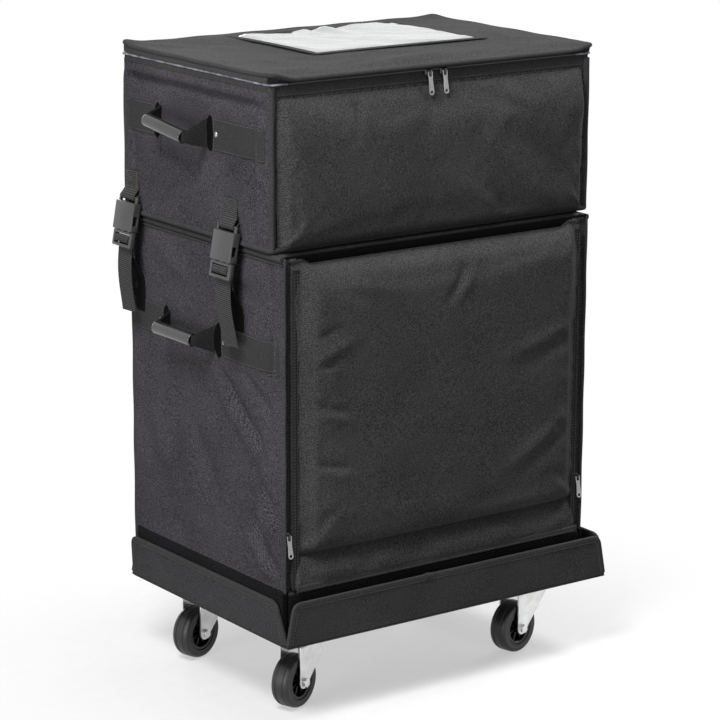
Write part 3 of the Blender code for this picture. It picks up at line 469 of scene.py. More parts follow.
def carried(path, across, profile, closed=False):
    """Points of a profile carried along a path; across is the direction of the profile's width."""
    path = np.asarray(path, float)
    across = np.broadcast_to(np.asarray(across, float), path.shape)
    heading = unit(np.roll(path, -1, 0) - np.roll(path, 1, 0) if closed else np.gradient(path, axis=0))
    side = unit(across - (across * heading).sum(1, keepdims=True) * heading)
    normal = np.cross(heading, side)
    return path[:, None] + profile[..., :1] * side[:, None] + profile[..., 1:] * normal[:, None]


def round_profile(radius, count=10):
    turn = np.linspace(0, TAU, count, endpoint=False)
    return np.stack([radius * np.cos(turn), radius * np.sin(turn)], 1)


def box_profile(width, height, radius):
    """A rectangle with round corners as the section of a strap or binding."""
    turn = np.linspace(0, math.pi / 2, 4)
    points = []
    for k, (sx, sy) in enumerate(((1, 1), (-1, 1), (-1, -1), (1, -1))):
        angle = turn + k * math.pi / 2
        points.append(np.stack([sx * (width / 2 - radius) + radius * np.cos(angle),
                                sy * (height / 2 - radius) + radius * np.sin(angle)], 1))
    return np.concatenate(points)


def upright_to(path):
    """A direction that is never along a path's first stretch."""
    heading = path[1] - path[0]
    return Z if abs(heading[2]) < 0.7 * np.linalg.norm(heading) else X


def tube(name, path, radius, material, body, closed=False):
    """A round cord of piping along a path."""
    shape = Shape().sweep(path, upright_to(path), round_profile(radius), closed)
    return shape.piece(name, material, body, weld=1e-7)


def strap(name, path, across, width, thick, material, body, slot="fabric", ride=True):
    """A flat strap or tape along a path."""
    shape = Shape().sweep(path, across, box_profile(width, thick, thick * 0.45))
    return shape.piece(name, material, body, slot, weld=1e-7, ride=ride)


def along_path(points):
    """A path's length, and a function from distances along it to points on it."""
    points = np.asarray(points, float)
    lengths = np.concatenate([[0], np.cumsum(np.linalg.norm(np.diff(points, axis=0), axis=1))])
    return lengths[-1], lambda spots: np.stack([np.interp(spots, lengths, c) for c in points.T], 1)


def coil(name, path, radius, material, body):
    """A zip's coil: a string of beads along a path."""
    pitch = 0.0022
    length, at = along_path(path)
    spots = np.arange(0, length, pitch / 4)
    swell = 1 + 0.35 * np.cos(spots / pitch * TAU)
    fine, profile = at(spots), round_profile(radius, 6) * swell[:, None, None]
    shape = Shape().sweep(fine, upright_to(fine), profile)
    shape.piece(name, material, body, "slider_metal", weld=1e-7)


def line(start, end, step=0.004):
    """Evenly spaced points from start to end."""
    start, end = np.array(start, float), np.array(end, float)
    count = max(2, round(float(np.linalg.norm(end - start)) / step) + 1)
    return start + (end - start) * np.linspace(0, 1, count)[:, None]


def rounded_path(points, radius, step=0.004, closed=False):
    """A path through corner points, each turned with a radius."""
    points = [np.array(p, float) for p in points]
    count = len(points)
    result = []
    for i, point in enumerate(points):
        if not closed and i in (0, count - 1):
            result.append(point[None])
            continue
        back, ahead = points[i - 1] - point, points[(i + 1) % count] - point
        back, ahead = back / np.linalg.norm(back), ahead / np.linalg.norm(ahead)
        t = np.linspace(0, 1, 7)[:, None]
        a, b = point + back * radius, point + ahead * radius
        result.append((1 - t) ** 2 * a + 2 * t * (1 - t) * point + t * t * b)
    corners = np.concatenate(result + [result[0][:1]] if closed else result)
    pieces = []
    for a, b in zip(corners, corners[1:]):
        n = max(1, round(float(np.linalg.norm(b - a)) / step))
        pieces.append(a + (b - a) * (np.arange(n) / n)[:, None])
    return np.concatenate(pieces if closed else pieces + [corners[-1:]])


STITCH = ([(-1, 0, 0), (1, 0, 0), (0, -1, 0), (0, 1, 0), (0, 0, -1), (0, 0, 1)],
          [(0, 2, 5), (2, 1, 5), (1, 3, 5), (3, 0, 5), (2, 0, 4), (1, 2, 4), (3, 1, 4), (0, 3, 4)])


def stitches(name, paths, body, pitch=0.0046, length=0.0034):
    """Rows of raised stitches along (points, outward direction) paths."""
    width, rise = 0.0012, 0.45
    shape = Shape()
    for points, out in paths:
        total, at = along_path(points)
        spots = np.arange(pitch / 2, total, pitch)
        heading = unit(at(spots + 1e-4) - at(spots - 1e-4))
        out = np.broadcast_to(np.array(out, float), heading.shape)
        side = np.cross(out, heading)
        for spot, h, s, o in zip(at(spots), heading, side, out):
            corners = [spot + h * a * length / 2 + s * b * width / 2 + o * c * width * rise
                       for a, b, c in STITCH[0]]
            shape.solid(corners, STITCH[1])
    shape.piece(name, "thread", body, "webbing", weld=0)


def moved(points, matrix):
    """Points placed by a matrix."""
    m = np.array(matrix)
    return np.asarray(points, float) @ m[:3, :3].T + m[:3, 3]


def refined(node, name, width, material, body, slot):
    """A CAD piece's own shape with eased edges."""
    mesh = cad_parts[node].data.copy()
    shape = bmesh.new()
    shape.from_mesh(mesh)
    bmesh.ops.remove_doubles(shape, verts=shape.verts, dist=1e-6)
    bmesh.ops.dissolve_limit(shape, angle_limit=math.radians(1), verts=shape.verts, edges=shape.edges)
    shape.to_mesh(mesh)
    shape.free()
    made = finish_piece(name, mesh, material, body, slot, sharp_deg=35)
    ease = made.modifiers.new("ease", "BEVEL")
    ease.width = width
    ease.segments = 2
    ease.limit_method = "ANGLE"
    ease.angle_limit = math.radians(38)
    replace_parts(made, node)


# Padded walls

WALLS = {}
UP_WALL, LO_WALL, SILL_T = 0.012, 0.016, 0.014
UP_RELIEF, LO_RELIEF = 1.35, 1.85
PAD_SETTLE = 0.003
LIP_DEPTH, LIP_T = 0.0085, 0.003
LOOP_LOW, LOOP_TOP = 0.14, 0.203
INNER_ROUND = 0.005


def wall(name, plane, low, high, thick, rounds, body, material="fabric", relief=None, crown=0.0,
         lip=None, coarse=0.004):
    """A padded wall with round outer edges, a low crown and relief(u, v) that fades at the edges.

    rounds are the radii at its left, right, lower and upper edge; lip names the edge at which the
    wall thins to the lip of the flap's zip.
    """
    def height(u, v):
        ends = (u - low[0], high[0] - u, v - low[1], high[1] - v)
        near = np.maximum(np.minimum.reduce(ends), 0)
        edge = np.minimum.reduce([r * (dome(np.maximum(e, 0), r) - 1) for e, r in zip(ends, rounds)])
        form = crown * dome(near, 0.15) + (relief(u, v) if relief else 0)
        return edge + smooth(near, 0.004, 0.03) * form

    panel = Panel(plane, low, high, corner=0.005, edge=0.024, edge_count=9, coarse=coarse)
    WALLS[name] = (plane, height)
    back = -thick + INNER_ROUND * (1 - dome(panel.d, INNER_ROUND))
    if lip:
        back = np.where(getattr(panel, lip) < LIP_DEPTH, -LIP_T, back)
    made = panel.slab(name, height(panel.u, panel.v), back, material, body)
    return made


def on_wall(name, u, v, lift=0.0):
    """Points on a wall's face at (u, v), lifted off it."""
    plane, height = WALLS[name]
    u, v = (a.astype(float) for a in np.broadcast_arrays(u, v))
    return in_plane(plane, u, v, height(u, v) + lift)


def wall_line(name, start, end, lift=0.0, step=0.004):
    """A straight line on a wall's face."""
    return on_wall(name, *line(start, end, step).T, lift)


def case_of(wall_name):
    """The body that a wall rides on."""
    return wall_name.split("_")[0] + "_case"


def patch(name, on, low, high, thick, material, slot="fabric", coarse=0.012):
    """Tape or webbing sewn flat on a wall, whose face it follows."""
    plane, height = WALLS[on]
    panel = Panel(plane, low, high, corner=0.002, edge=0.003, edge_count=3, coarse=coarse)
    base = height(panel.u, panel.v)
    panel.slab(name, base + thick * dome(panel.d, thick), base - 0.001, material, case_of(on), slot)


def side_relief(seed, lines, strength):
    """Waves and placed folds of a side wall."""
    def relief(u, v):
        return strength * (0.0006 * ripple(u, v, 0.12, seed) + 0.00025 * ripple(u, v, 0.04, seed + 1)
                           + folds(u, v, lines))
    return relief


def above_tape(relief):
    """Keep the wall flat behind the loop tape."""
    return lambda u, v: relief(u, v) * smooth(v, LOOP_TOP, LOOP_TOP + 0.025)


def behind_handle(relief, centre, height):
    """Hollow the wall a little where a grip swings close to it."""
    def hollow(u, v):
        near = (1 - smooth(abs(u - centre), 0.05, 0.068)) * (1 - smooth(abs(v - height), 0.042, 0.062))
        return relief(u, v) * (1 - near) - 0.0042 * near
    return hollow


def flipped(lines):
    """The folds of a right wall as its mirror image has them."""
    return [(-a, b, -c, d, width, height) for a, b, c, d, width, height in lines]


# Folds as (u0, v0, u1, v1, width, height) in millimetres
UPPER_SIDE_FOLDS = [
    (300, 904, -340, 901, 9, -6.2), (300, 919, -300, 917, 7, 3), (-150, 600, -152, 1060, 7, 3.4),
    (-136, 600, -138, 1060, 6, -2.4), (197, 600, 195, 1060, 7, 2.6), (183, 600, 181, 1060, 6, -1.6),
    (-60, 830, 160, 700, 14, -2.4), (20, 830, 200, 740, 12, 2.2), (-140, 780, -20, 700, 11, 2),
    (-145, 830, -60, 780, 9, -1.8)]
UPPER_PAD_FOLDS = [
    (200, 715, 60, 850, 20, 3), (245, 740, 130, 850, 16, -3.4), (100, 710, -20, 800, 18, 2.8),
    (135, 705, 80, 765, 9, -3.4), (-30, 712, -100, 780, 16, 2.4), (-145, 915, -150, 855, 7, -3.4),
    (-125, 915, -135, 860, 10, 2.4), (260, 880, 200, 800, 18, 2.4), (0, 905, -40, 830, 14, -2.4),
    (100, 905, 50, 800, 16, -2.6), (140, 905, 90, 820, 14, 2.2)]
LOWER_SIDE_FOLDS = [
    (-30, 505, -185, 372, 8, -4.2), (-20, 487, -175, 355, 13, 3), (-100, 510, -185, 450, 8, -3),
    (-165, 420, -160, 180, 18, 4.4), (-138, 440, -132, 200, 12, -2.6), (-115, 300, -205, 205, 8, -4.2),
    (-100, 275, -195, 192, 8, 3.4), (-130, 360, -205, 225, 12, 4.4), (-155, 360, -205, 280, 6, -3.4),
    (-180, 440, -187, 740, 7, 3.4), (-166, 440, -171, 740, 8, -3), (160, 420, 50, 240, 18, 2.6),
    (60, 430, -60, 260, 18, -2.6), (150, 670, 0, 600, 14, 2.2), (-20, 670, -150, 610, 10, -2.2),
    (200, 200, 195, 720, 7, 2.4)]
LOWER_BACK_FOLDS = [
    (100, 620, -50, 400, 30, 1.8), (-120, 500, 0, 280, 30, -1.8), (200, 300, 50, 200, 20, 1.8)]


def upper_case():
    """The upper case's walls, floor and front pad."""
    walls = {
        "left": ((UP_L, 0, 0), (-UP_B, UP_Z), (-UP_F, UP_RIM), flipped(UPPER_SIDE_FOLDS)),
        "right": ((UP_R, 0, 0), (UP_F, UP_Z), (UP_B, UP_RIM), UPPER_SIDE_FOLDS),
        "back": ((0, UP_B, 0), (UP_L + 0.009, UP_Z), (UP_R - 0.009, UP_RIM), []),
        "front": ((0, UP_F + 0.002, 0), (UP_L + 0.007, UP_Z), (UP_R - 0.007, UP_RIM), []),
    }
    handle_y, handle_z = HANDLES["upper"][2:]
    for seed, (side, (origin, low, high, lines)) in enumerate(walls.items()):
        strength = 0.0 if side == "front" else UP_RELIEF
        relief = side_relief(20 + seed, lines, strength)
        if lines:
            relief = behind_handle(relief, handle_y if side == "right" else -handle_y, handle_z)
        made = wall(f"upper_wall_{side}", (origin, *SIDES[side]), low, high, UP_WALL,
                    (0.008, 0.008, 0.008, 0.002), "upper_case", relief=relief, crown=0.0015 * strength)
        if side == "left":
            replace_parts(made, "upper_shell")
    inset = 0.006
    wall("upper_floor", ((0, 0, UP_Z), X, Y, -Z), (UP_L + inset, UP_F + inset),
         (UP_R - inset, UP_B - inset), UP_WALL, (0.003,) * 4, "upper_case", "lining", coarse=0.02)

    panel = Panel(((0, UP_F, 0), *SIDES["front"]), (UP_L + 0.01, 0.699), (UP_R - 0.01, 0.9165),
                  corner=0.008, edge=0.03, edge_count=14, coarse=0.0045)
    u, v = panel.u, panel.v
    height = 0.019 * (chamfer(np.minimum(panel.left, panel.right), 0.014)
                       * dome(panel.below, 0.017, 2.1) * dome(panel.above, 0.065, 2.0))
    height += 0.0025 * smooth(panel.d, 0.0, 0.09)
    height += smooth(panel.d, 0.002, 0.02) * (
        folds(u, v, UPPER_PAD_FOLDS) + 0.0008 * ripple(u, v, 0.1, 5, lean=0.7)
        + 0.0002 * ripple(u, v, 0.03, 6))
    pad = panel.slab("upper_front_pad", -0.0035 + height, -0.005, "pad", "upper_case",
                     settle_cap=PAD_SETTLE)
    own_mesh(pad)


def lower_case():
    """The lower case's walls around its open front, with a lip beside each zip."""
    walls = {
        "left": ((LO_L, 0, 0), (-LO_B, LO_Z), (-LO_F, LO_TOP), flipped(LOWER_SIDE_FOLDS),
                 (0.01, 0.003, 0.008, 0.008), "right"),
        "right": ((LO_R, 0, 0), (LO_F, LO_Z), (LO_B, LO_TOP), LOWER_SIDE_FOLDS,
                  (0.003, 0.01, 0.008, 0.008), "left"),
        "back": ((0, LO_B, 0), (-LO_R + 0.009, LO_Z), (-LO_L - 0.009, LO_TOP), LOWER_BACK_FOLDS,
                 (0.008,) * 4, None),
    }
    for seed, (side, (origin, low, high, lines, rounds, lip)) in enumerate(walls.items()):
        relief = above_tape(side_relief(40 + seed, lines, LO_RELIEF))
        made = wall(f"lower_wall_{side}", (origin, *SIDES[side]), low, high, LO_WALL, rounds,
                    "lower_case", relief=relief, crown=0.0016, lip=lip)
        if side == "left":
            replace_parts(made, "lower_shell")
    flat, inset = (0.005,) * 4, 0.008
    for name, z, out, front in (("lower_top", LO_TOP, Z, LO_F + 0.015),
                                ("lower_floor", LO_Z, -Z, LO_F + 0.002)):
        wall(name, ((0, 0, z), X, Y, out), (LO_L + inset, front), (LO_R - inset, LO_B - inset), LO_WALL,
             flat, "lower_case", "lining", coarse=0.02)
    wall("lower_sill", ((0, LO_F, 0), *SIDES["front"]), (LO_L + 0.003, LO_Z), (LO_R - 0.003, SILL_TOP),
         SILL_T, flat, "lower_case", coarse=0.012)


upper_case()
lower_case()


# Front flap

RECESS = 0.012
FLAP_PAD_L, FLAP_PAD_R, FLAP_PAD_LOW = FLAP_L + 0.0135, FLAP_R - 0.0115, FLAP_Z + 0.055

# Folds in millimetres, by the pad's edge from which u is measured
FLAP_FOLDS = [
    (FLAP_PAD_L + 0.015, [
        (0, 576, 50, 590, 6, -3.6), (0, 545, 85, 573, 10, 3.8), (0, 532, 50, 538, 6, -3.6),
        (0, 478, 65, 458, 5, -4.2), (0, 466, 70, 443, 8, 2.6), (0, 390, 70, 376, 5, -4.2),
        (0, 379, 75, 358, 8, 2.6), (30, 655, 120, 610, 12, -2.6)]),
    (FLAP_PAD_R, [
        (0, 405, -170, 318, 12, 4), (0, 380, -140, 300, 10, -3), (0, 538, -170, 498, 11, 3.4),
        (0, 515, -130, 478, 10, -2.6)]),
    (0.0, [
        (28, 652, -14, 590, 7, -4.2), (48, 655, 6, 590, 9, 3.2), (-200, 310, 100, 285, 20, 2),
        (20, 275, 240, 310, 18, -2)])]


def front_flap():
    """The flap: a stiff bound panel with a flat hem and one big pad above it."""
    panel = Panel(((0, LO_F, 0), *SIDES["front"]), (FLAP_L, FLAP_Z), (FLAP_R, FLAP_TOP), corner=0.006,
                  edge=0.016, edge_count=8, coarse=0.0045)
    u, v = panel.u, panel.v
    ears = 1 - smooth(np.minimum(panel.left, panel.right), 0.01, 0.04)
    side = np.minimum(u - FLAP_PAD_L, FLAP_PAD_R - u)
    low, top = v - FLAP_PAD_LOW, FLAP_TOP - RECESS * (1 - ears) - v
    pad = (chamfer(side, 0.017) * dome(np.maximum(low, 0), 0.024, 2.1)
           * dome(np.maximum(top, 0), 0.042, 2.0))
    height = 0.017 * pad + 0.002 * pad * smooth(np.minimum(side, low), 0.0, 0.12)
    height += smooth(np.minimum.reduce([side, low, top]), 0.004, 0.03) * (
        sum(folds(u - start, v, lines) for start, lines in FLAP_FOLDS)
        + 0.0007 * ripple(u, v, 0.13, 11) + 0.0002 * ripple(u, v, 0.03, 12))
    crease = -0.006 * np.exp(-((low + 0.002) / 0.005) ** 2)
    bulges = 1 + 0.5 * np.sin(u * 24) + 0.5 * np.sin(u * 61 + 1.0) + 0.3 * np.sin(u * 113 + 2.0)
    hem = 0.003 * np.exp(-((v - FLAP_Z - 0.028) / 0.013) ** 2) * bulges
    hem += 0.008 * smooth(-low, 0.004, 0.046)
    lean = -0.008 * (1 - smooth(top, -0.002, 0.02))
    rim = 0.003 * (1 - dome(panel.d, 0.003))
    face = height - rim + (crease + hem) * smooth(panel.d, 0.0, 0.01) + lean
    made = panel.slab("front_flap_pad", face, rim - 0.014, "pad", "front_flap", settle_cap=PAD_SETTLE,
                      held=top < 0.001)
    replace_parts(made, "front_flap")

    def level(y, z, inset):
        return line((FLAP_L + inset, y, z), (FLAP_R - inset, y, z), 0.02)

    def upright(x, y, low_in, top_in):
        return line((x, y, FLAP_Z + low_in), (x, y, FLAP_TOP - top_in), 0.02)

    # A near-black strip along the flap's top paints the shade in the gap under the upper case
    strap("flap_top_painted_shade", level(LO_F + 0.0074, FLAP_TOP - 0.0068, 0.012), Z, 0.013, 0.001, "dark",
          "front_flap")
    edge, foot = 0.0012, LO_F - 0.0072
    rows = []
    for name, end, sign in LEFT_RIGHT:
        x = (FLAP_L, FLAP_R)[end]
        strap(f"flap_binding_{name}", upright(x + sign * 0.0055, LO_F - edge / 2, 0.002, 0.016), X,
              0.011, edge * 2, "edging", "front_flap")
        rows += [(upright(x + sign * inset, LO_F - 0.0019, 0.006, 0.022), -Y)
                 for inset in (0.0035, 0.0085)]
    strap("flap_binding_low", level(foot - edge / 2, FLAP_Z + 0.0052, 0.003), Z, 0.01, edge * 2.6,
          "binding", "front_flap")
    rows += [(level(foot - 0.0022, FLAP_Z + inset, 0.006), -Y) for inset in (0.0025, 0.0085)]
    stitches("flap_stitches", rows, "front_flap")


front_flap()


# Lid with its window

LID_FOLDS = [
    (-100, -165, 120, -100, 16, 2.2), (-240, -120, -130, -20, 20, -1.8),
    (60, -160, 220, -120, 14, -1.8), (-280, 200, -200, 100, 16, 1.8), (-200, -150, -50, -120, 12, -1.6)]
WINDOW_PLACE = (0.036, 0.071, LID_TOP)
WINDOW_HALF_W, WINDOW_HALF_D, WINDOW_TAPE = 0.15, 0.111, 0.012


def lid_lift(x, y):
    """How far the lid's rim stands up: a pinched back left corner and softer front ones."""
    ears = ((UP_L, UP_B, 0.006, 0.022), (UP_R, UP_F, 0.0035, 0.028), (UP_L, UP_F, 0.0022, 0.016),
            (UP_R, UP_B, 0.002, 0.022))
    rise = sum(h * np.exp(-((x - ex) ** 2 + (y - ey) ** 2) / size ** 2) for ex, ey, h, size in ears)
    roll = smooth(x - UP_L, 0.004, 0.045) * (1 - 0.5 * smooth(x - UP_R, -0.03, 0.0))
    return rise - 0.0062 * roll * (1 - smooth(y - UP_F, 0.0, 0.04))


def rectangle(left, right, front, back, z):
    return [(left, front, z), (right, front, z), (right, back, z), (left, back, z)]


def lid():
    """The lid's slack padded panel and the piping round it."""
    panel = Panel(((0, 0, LID_TOP), X, Y, Z), (UP_L - 0.003, UP_F - 0.005), (UP_R + 0.003, UP_B),
                  corner=0.012, edge_count=9)
    u, v = panel.u, panel.v
    lift, radius = lid_lift(u, v), 0.004
    sag = -0.002 * smooth(panel.d, 0.01, 0.1)
    relief = smooth(panel.d, 0.004, 0.03) * (
        0.0008 * ripple(u, v, 0.16, 61) + 0.0003 * ripple(u, v, 0.05, 62) + folds(u, v, LID_FOLDS))
    top = radius * (dome(panel.d, radius) - 1) + sag + relief + lift
    under = np.where(panel.below < 0.0095, -0.006 + lift, LID_Z - LID_TOP + 0.3 * lift)
    made = panel.slab("lid_panel", top, under, "pad", "lid")
    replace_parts(made, "lid")
    rim = rounded_path(rectangle(UP_L - 0.0012, UP_R + 0.0012, UP_F - 0.0032, UP_B - 0.003,
                                 LID_TOP - 0.003), 0.01, 0.005, closed=True)
    x, y = rim[:, 0], rim[:, 1]
    rim[:, 2] += lid_lift(x, y) + 0.0004 * np.sin(x * 70) * np.cos(y * 60)
    tube("lid_piping", rim, 0.0034, "binding", "lid", closed=True)


def window():
    """The card pocket in the lid: wavy clear film with a bound edge."""
    half_w, half_d = WINDOW_HALF_W, WINDOW_HALF_D
    film = Panel((WINDOW_PLACE, X, Y, Z), (-half_w, -half_d), (half_w, half_d), corner=0.003,
                 edge=0.012, edge_count=4, coarse=0.0045)
    u, v = film.u, film.v
    waves = 0.0012 * ripple(u, v, 0.09, 71, lean=0.5) + 0.0003 * ripple(u, v, 0.04, 72, lean=0.9)
    pucker = 0.0022 * np.sin(u * 95 + 2 * np.sin(u * 37)) * smooth(v, -0.01, 0.09)
    top = -0.0004 + smooth(film.d, 0.001, 0.012) * (0.0026 + waves + pucker)
    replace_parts(film.slab("window_vinyl", top, -0.0022, "vinyl", "lid", "vinyl"), "window_film")
    binding, rows = Shape(), []
    for sx, sy, along, half, reach in ((0, -1, X, half_w, half_d), (0, 1, X, half_w, half_d),
                                       (-1, 0, Y, half_d, half_w), (1, 0, Y, half_d, half_w)):
        outward = np.array((sx, sy, 0), float)
        middle = Vector(WINDOW_PLACE) + Vector(outward) * (reach + 0.003)
        far = half + 0.003 + WINDOW_TAPE / 2 * (1 if sy else -1)
        path = line(middle - along * far, middle + along * far, 0.01)
        path -= 0.0035 * np.sin(np.linspace(0, math.pi, len(path)))[:, None] * outward
        binding.sweep(path, outward, box_profile(WINDOW_TAPE, 0.002, 0.0009))
        rows.append((path + (0, 0, 0.0011) + outward * 0.003, Z))
    binding.piece("window_binding", "binding", "lid", weld=0)
    stitches("window_stitches", rows, "lid")


lid()
window()


# Piping along the cases' edges

def piping():
    """Round piping up the cases' corners and round their rims."""
    for case, radius, xs, ys, low, high in (
            ("upper", 0.0045, (UP_L, UP_R), (UP_F, UP_B), UP_Z + 0.004, UP_RIM - 0.006),
            ("lower", 0.0042, (LO_L, LO_R), (LO_F, LO_B), LO_Z + 0.004, LO_TOP - 0.006)):
        for end, k, sx in LEFT_RIGHT:
            for depth, y, sy in zip(("front", "back"), ys, (1, -1)):
                thick = 0.0018 if (case, depth) == ("lower", "front") else radius
                spot = xs[k] + sx * thick, y + sy * thick * 0.5
                path = line((*spot, low), (*spot, high), 0.008)
                path[:, 0] += sx * 0.0004 * np.sin(path[:, 2] * 60 + xs[k] * 9)
                if (case, depth) == ("upper", "back"):
                    path[:, 1] -= 0.0032 * smooth(path[:, 2], high - 0.03, high - 0.014)
                tube(f"{case}_piping_{depth}_{end}", path, thick, "binding", f"{case}_case")
    front, z = LO_F + 0.003, LO_TOP - 0.005
    rim = rounded_path([(LO_L, front, z), (LO_L, LO_B, z), (LO_R, LO_B, z), (LO_R, front, z)], 0.008)
    shape = Shape().sweep(rim, Z, box_profile(0.0094, 0.009, 0.004))
    shape.sweep(rim - (0, 0, 0.0074), Z, round_profile(0.0024, 8))
    shape.piece("lower_top_binding", "binding", "lower_case", weld=0)
    front, z = LO_F + 0.002, LO_TOP - 0.0018
    # A near-black cord along the lower case's front top edge paints the shade on the ledge under the
    # upper pad
    tube("lower_front_painted_shade", line((LO_L + 0.003, front, z), (LO_R - 0.003, front, z), 0.01), 0.002,
         "dark", "lower_case")
    foot = rectangle(UP_L + 0.001, UP_R - 0.001, UP_F + 0.0015, UP_B - 0.001, UP_Z + 0.0044)
    tube("upper_foot_piping", rounded_path(foot, 0.008, closed=True), 0.0042, "binding", "upper_case",
         closed=True)


piping()


# Zips

LID_TAPE_LOW, LID_SEAM_Z, SIDE_TAPE_LOW = 0.9195, 0.9215, 0.927
STITCH_LIFT = 0.0012


def zips():
    """Tapes and coils round the lid and down both sides of the flap."""
    front = "upper_wall_front"
    patch("lid_tape_front", front, (UP_L + 0.012, LID_TAPE_LOW), (UP_R - 0.012, UP_RIM - 0.0008),
          0.0009, "tape")
    for side, k, sign in LEFT_RIGHT:
        low, high = sorted((UP_L, UP_R)[k] + sign * inset for inset in (0.0078, 0.0125))
        # A near-black strip in each seam beside the front pad is painted shade
        patch(f"upper_seam_painted_shade_{side}", front, (low, 0.706), (high, 0.912), 0.0006, "dark", coarse=0.02)
    seam = wall_line(front, (UP_L + 0.014, LID_SEAM_Z), (UP_R - 0.014, LID_SEAM_Z), STITCH_LIFT, 0.02)
    stitches("lid_tape_stitches", [(seam, -Y)], "upper_case")
    for side, low, high in (("left", -UP_B + 0.01, -UP_F - 0.006),
                            ("right", UP_F + 0.006, UP_B - 0.01)):
        patch(f"lid_tape_{side}", f"upper_wall_{side}", (low, SIDE_TAPE_LOW), (high, UP_RIM - 0.0006),
              0.0008, "tape")
    out, corner = 0.0005, 0.03
    y, z = UP_F - out, UP_RIM + 0.0009
    for side, k, sign in LEFT_RIGHT:
        x = (UP_L, UP_R)[k] - sign * out
        path = rounded_path([(x, UP_B - 0.004, z), (x, y, z), (x + sign * corner, y, z)], 0.008, 0.003)
        coil(f"lid_coil_{side}", path, 0.0016, "coil", "upper_case")
    coil("lid_coil_front", line((UP_L + corner, y, z), (UP_R - corner, y, z)), 0.0015, "coil_black",
         "upper_case")
    for side, k, sign in LEFT_RIGHT:
        x = (LO_L, LO_R)[k]
        tape, teeth = (x + sign * 0.00825, SLIT_Y + 0.0004), (x + sign * 0.0118, SLIT_Y - 0.001)
        # The tape in each slit is near-black painted shade
        strap(f"flap_tape_{side}", line((*tape, SILL_TOP), (*tape, FLAP_TOP - 0.008), 0.02), X, 0.0104,
              0.0009, "dark", "lower_case")
        coil(f"flap_coil_{side}", line((*teeth, 0.292), (*teeth, FLAP_TOP - 0.01)), 0.001, "coil_black",
             "lower_case")


def sliders():
    """The zips' metal sliders and their pulls."""
    for which in ("lid", "flap"):
        for side in ("left", "right"):
            for piece, metal in (("slider", "gunmetal"), ("pull", "nickel")):
                node = f"{which}_{piece}_{side}"
                refined(node, f"{node}_metal", 0.0005, metal, node, "slider_metal")


zips()
sliders()


# Straps and buckles

TAIL_DRIFT = {"f": -0.016, "b": -0.005}
RISE_OUT, SHADE_Z = 0.0125, 0.652
HANG_Z, ANCHOR_Z, RISE_Z = 0.65, 0.548, 0.59
LEAN = math.radians(10)
BAR_Z, STANDOFF = 0.7245, 0.0085
TAB_LOW, TAB_HIGH, TAB_FOOT, TAB_LOOP = 0.738, 0.7655, 0.729, 0.00428
TAB_BOX = [(-0.0155, 0.7405), (0.0155, 0.7405), (0.0155, 0.763), (-0.0155, 0.763)]


def leaning(depth, height):
    """A point of the buckle's own frame as (distance out of the upper wall, height)."""
    return (STANDOFF - depth * math.cos(LEAN) - height * math.sin(LEAN),
            BAR_Z - depth * math.sin(LEAN) + height * math.cos(LEAN))


def smoothed(points, step=0.0022):
    """A path through points, rounded by averaging."""
    length, at = along_path(points)
    path = at(np.linspace(0, length, max(4, round(length / step))))
    path[1:-1] = (path[:-2] + 2 * path[1:-1] + path[2:]) / 4
    return path


def strap_points(anchor):
    """The buckle strap's path as in the CAD: up from its anchor, round the plug's bar, down."""
    pitch, bar, bottom = 0.005, -0.0643, -0.07655
    skin, outer, half = 0.0054, 0.0076, 0.00255
    wrap = [(outer, bar - 0.0003), (skin / 2, bar + 0.0056), (-skin / 2, bar + 0.0056),
            (-skin, bar + half), (-skin, bar - half), (-skin / 2, bar - 0.0053),
            (skin / 2, bar - 0.0053), (skin + 0.0003, bar - pitch - half), (skin, bar - 2 * pitch)]
    t = np.linspace(0, 1, 13)
    out, high = leaning(outer, bottom - WEB_T)
    rise = list(zip(anchor + (out - anchor) * t * t * (3 - 2 * t), RISE_Z + (high - RISE_Z) * t))
    out, high = leaning(skin, bottom)
    fall = list(zip(out + 0.003 * np.sin(1.25 * math.pi * t), high - 0.098 * t))
    return [(anchor, ANCHOR_Z)] + rise + [leaning(*spot) for spot in wrap] + fall


def buckles():
    """Four buckles, each with its sewn tab above and its adjustable strap below."""
    for side, label, sign, lower_x in (("l", "left", -1, LO_L), ("r", "right", 1, LO_R)):
        for end, y in BUCKLE_Y.items():
            buckle(f"buckle_{side}{end}", f"upper_wall_{label}", sign, lower_x, y, TAIL_DRIFT[end])


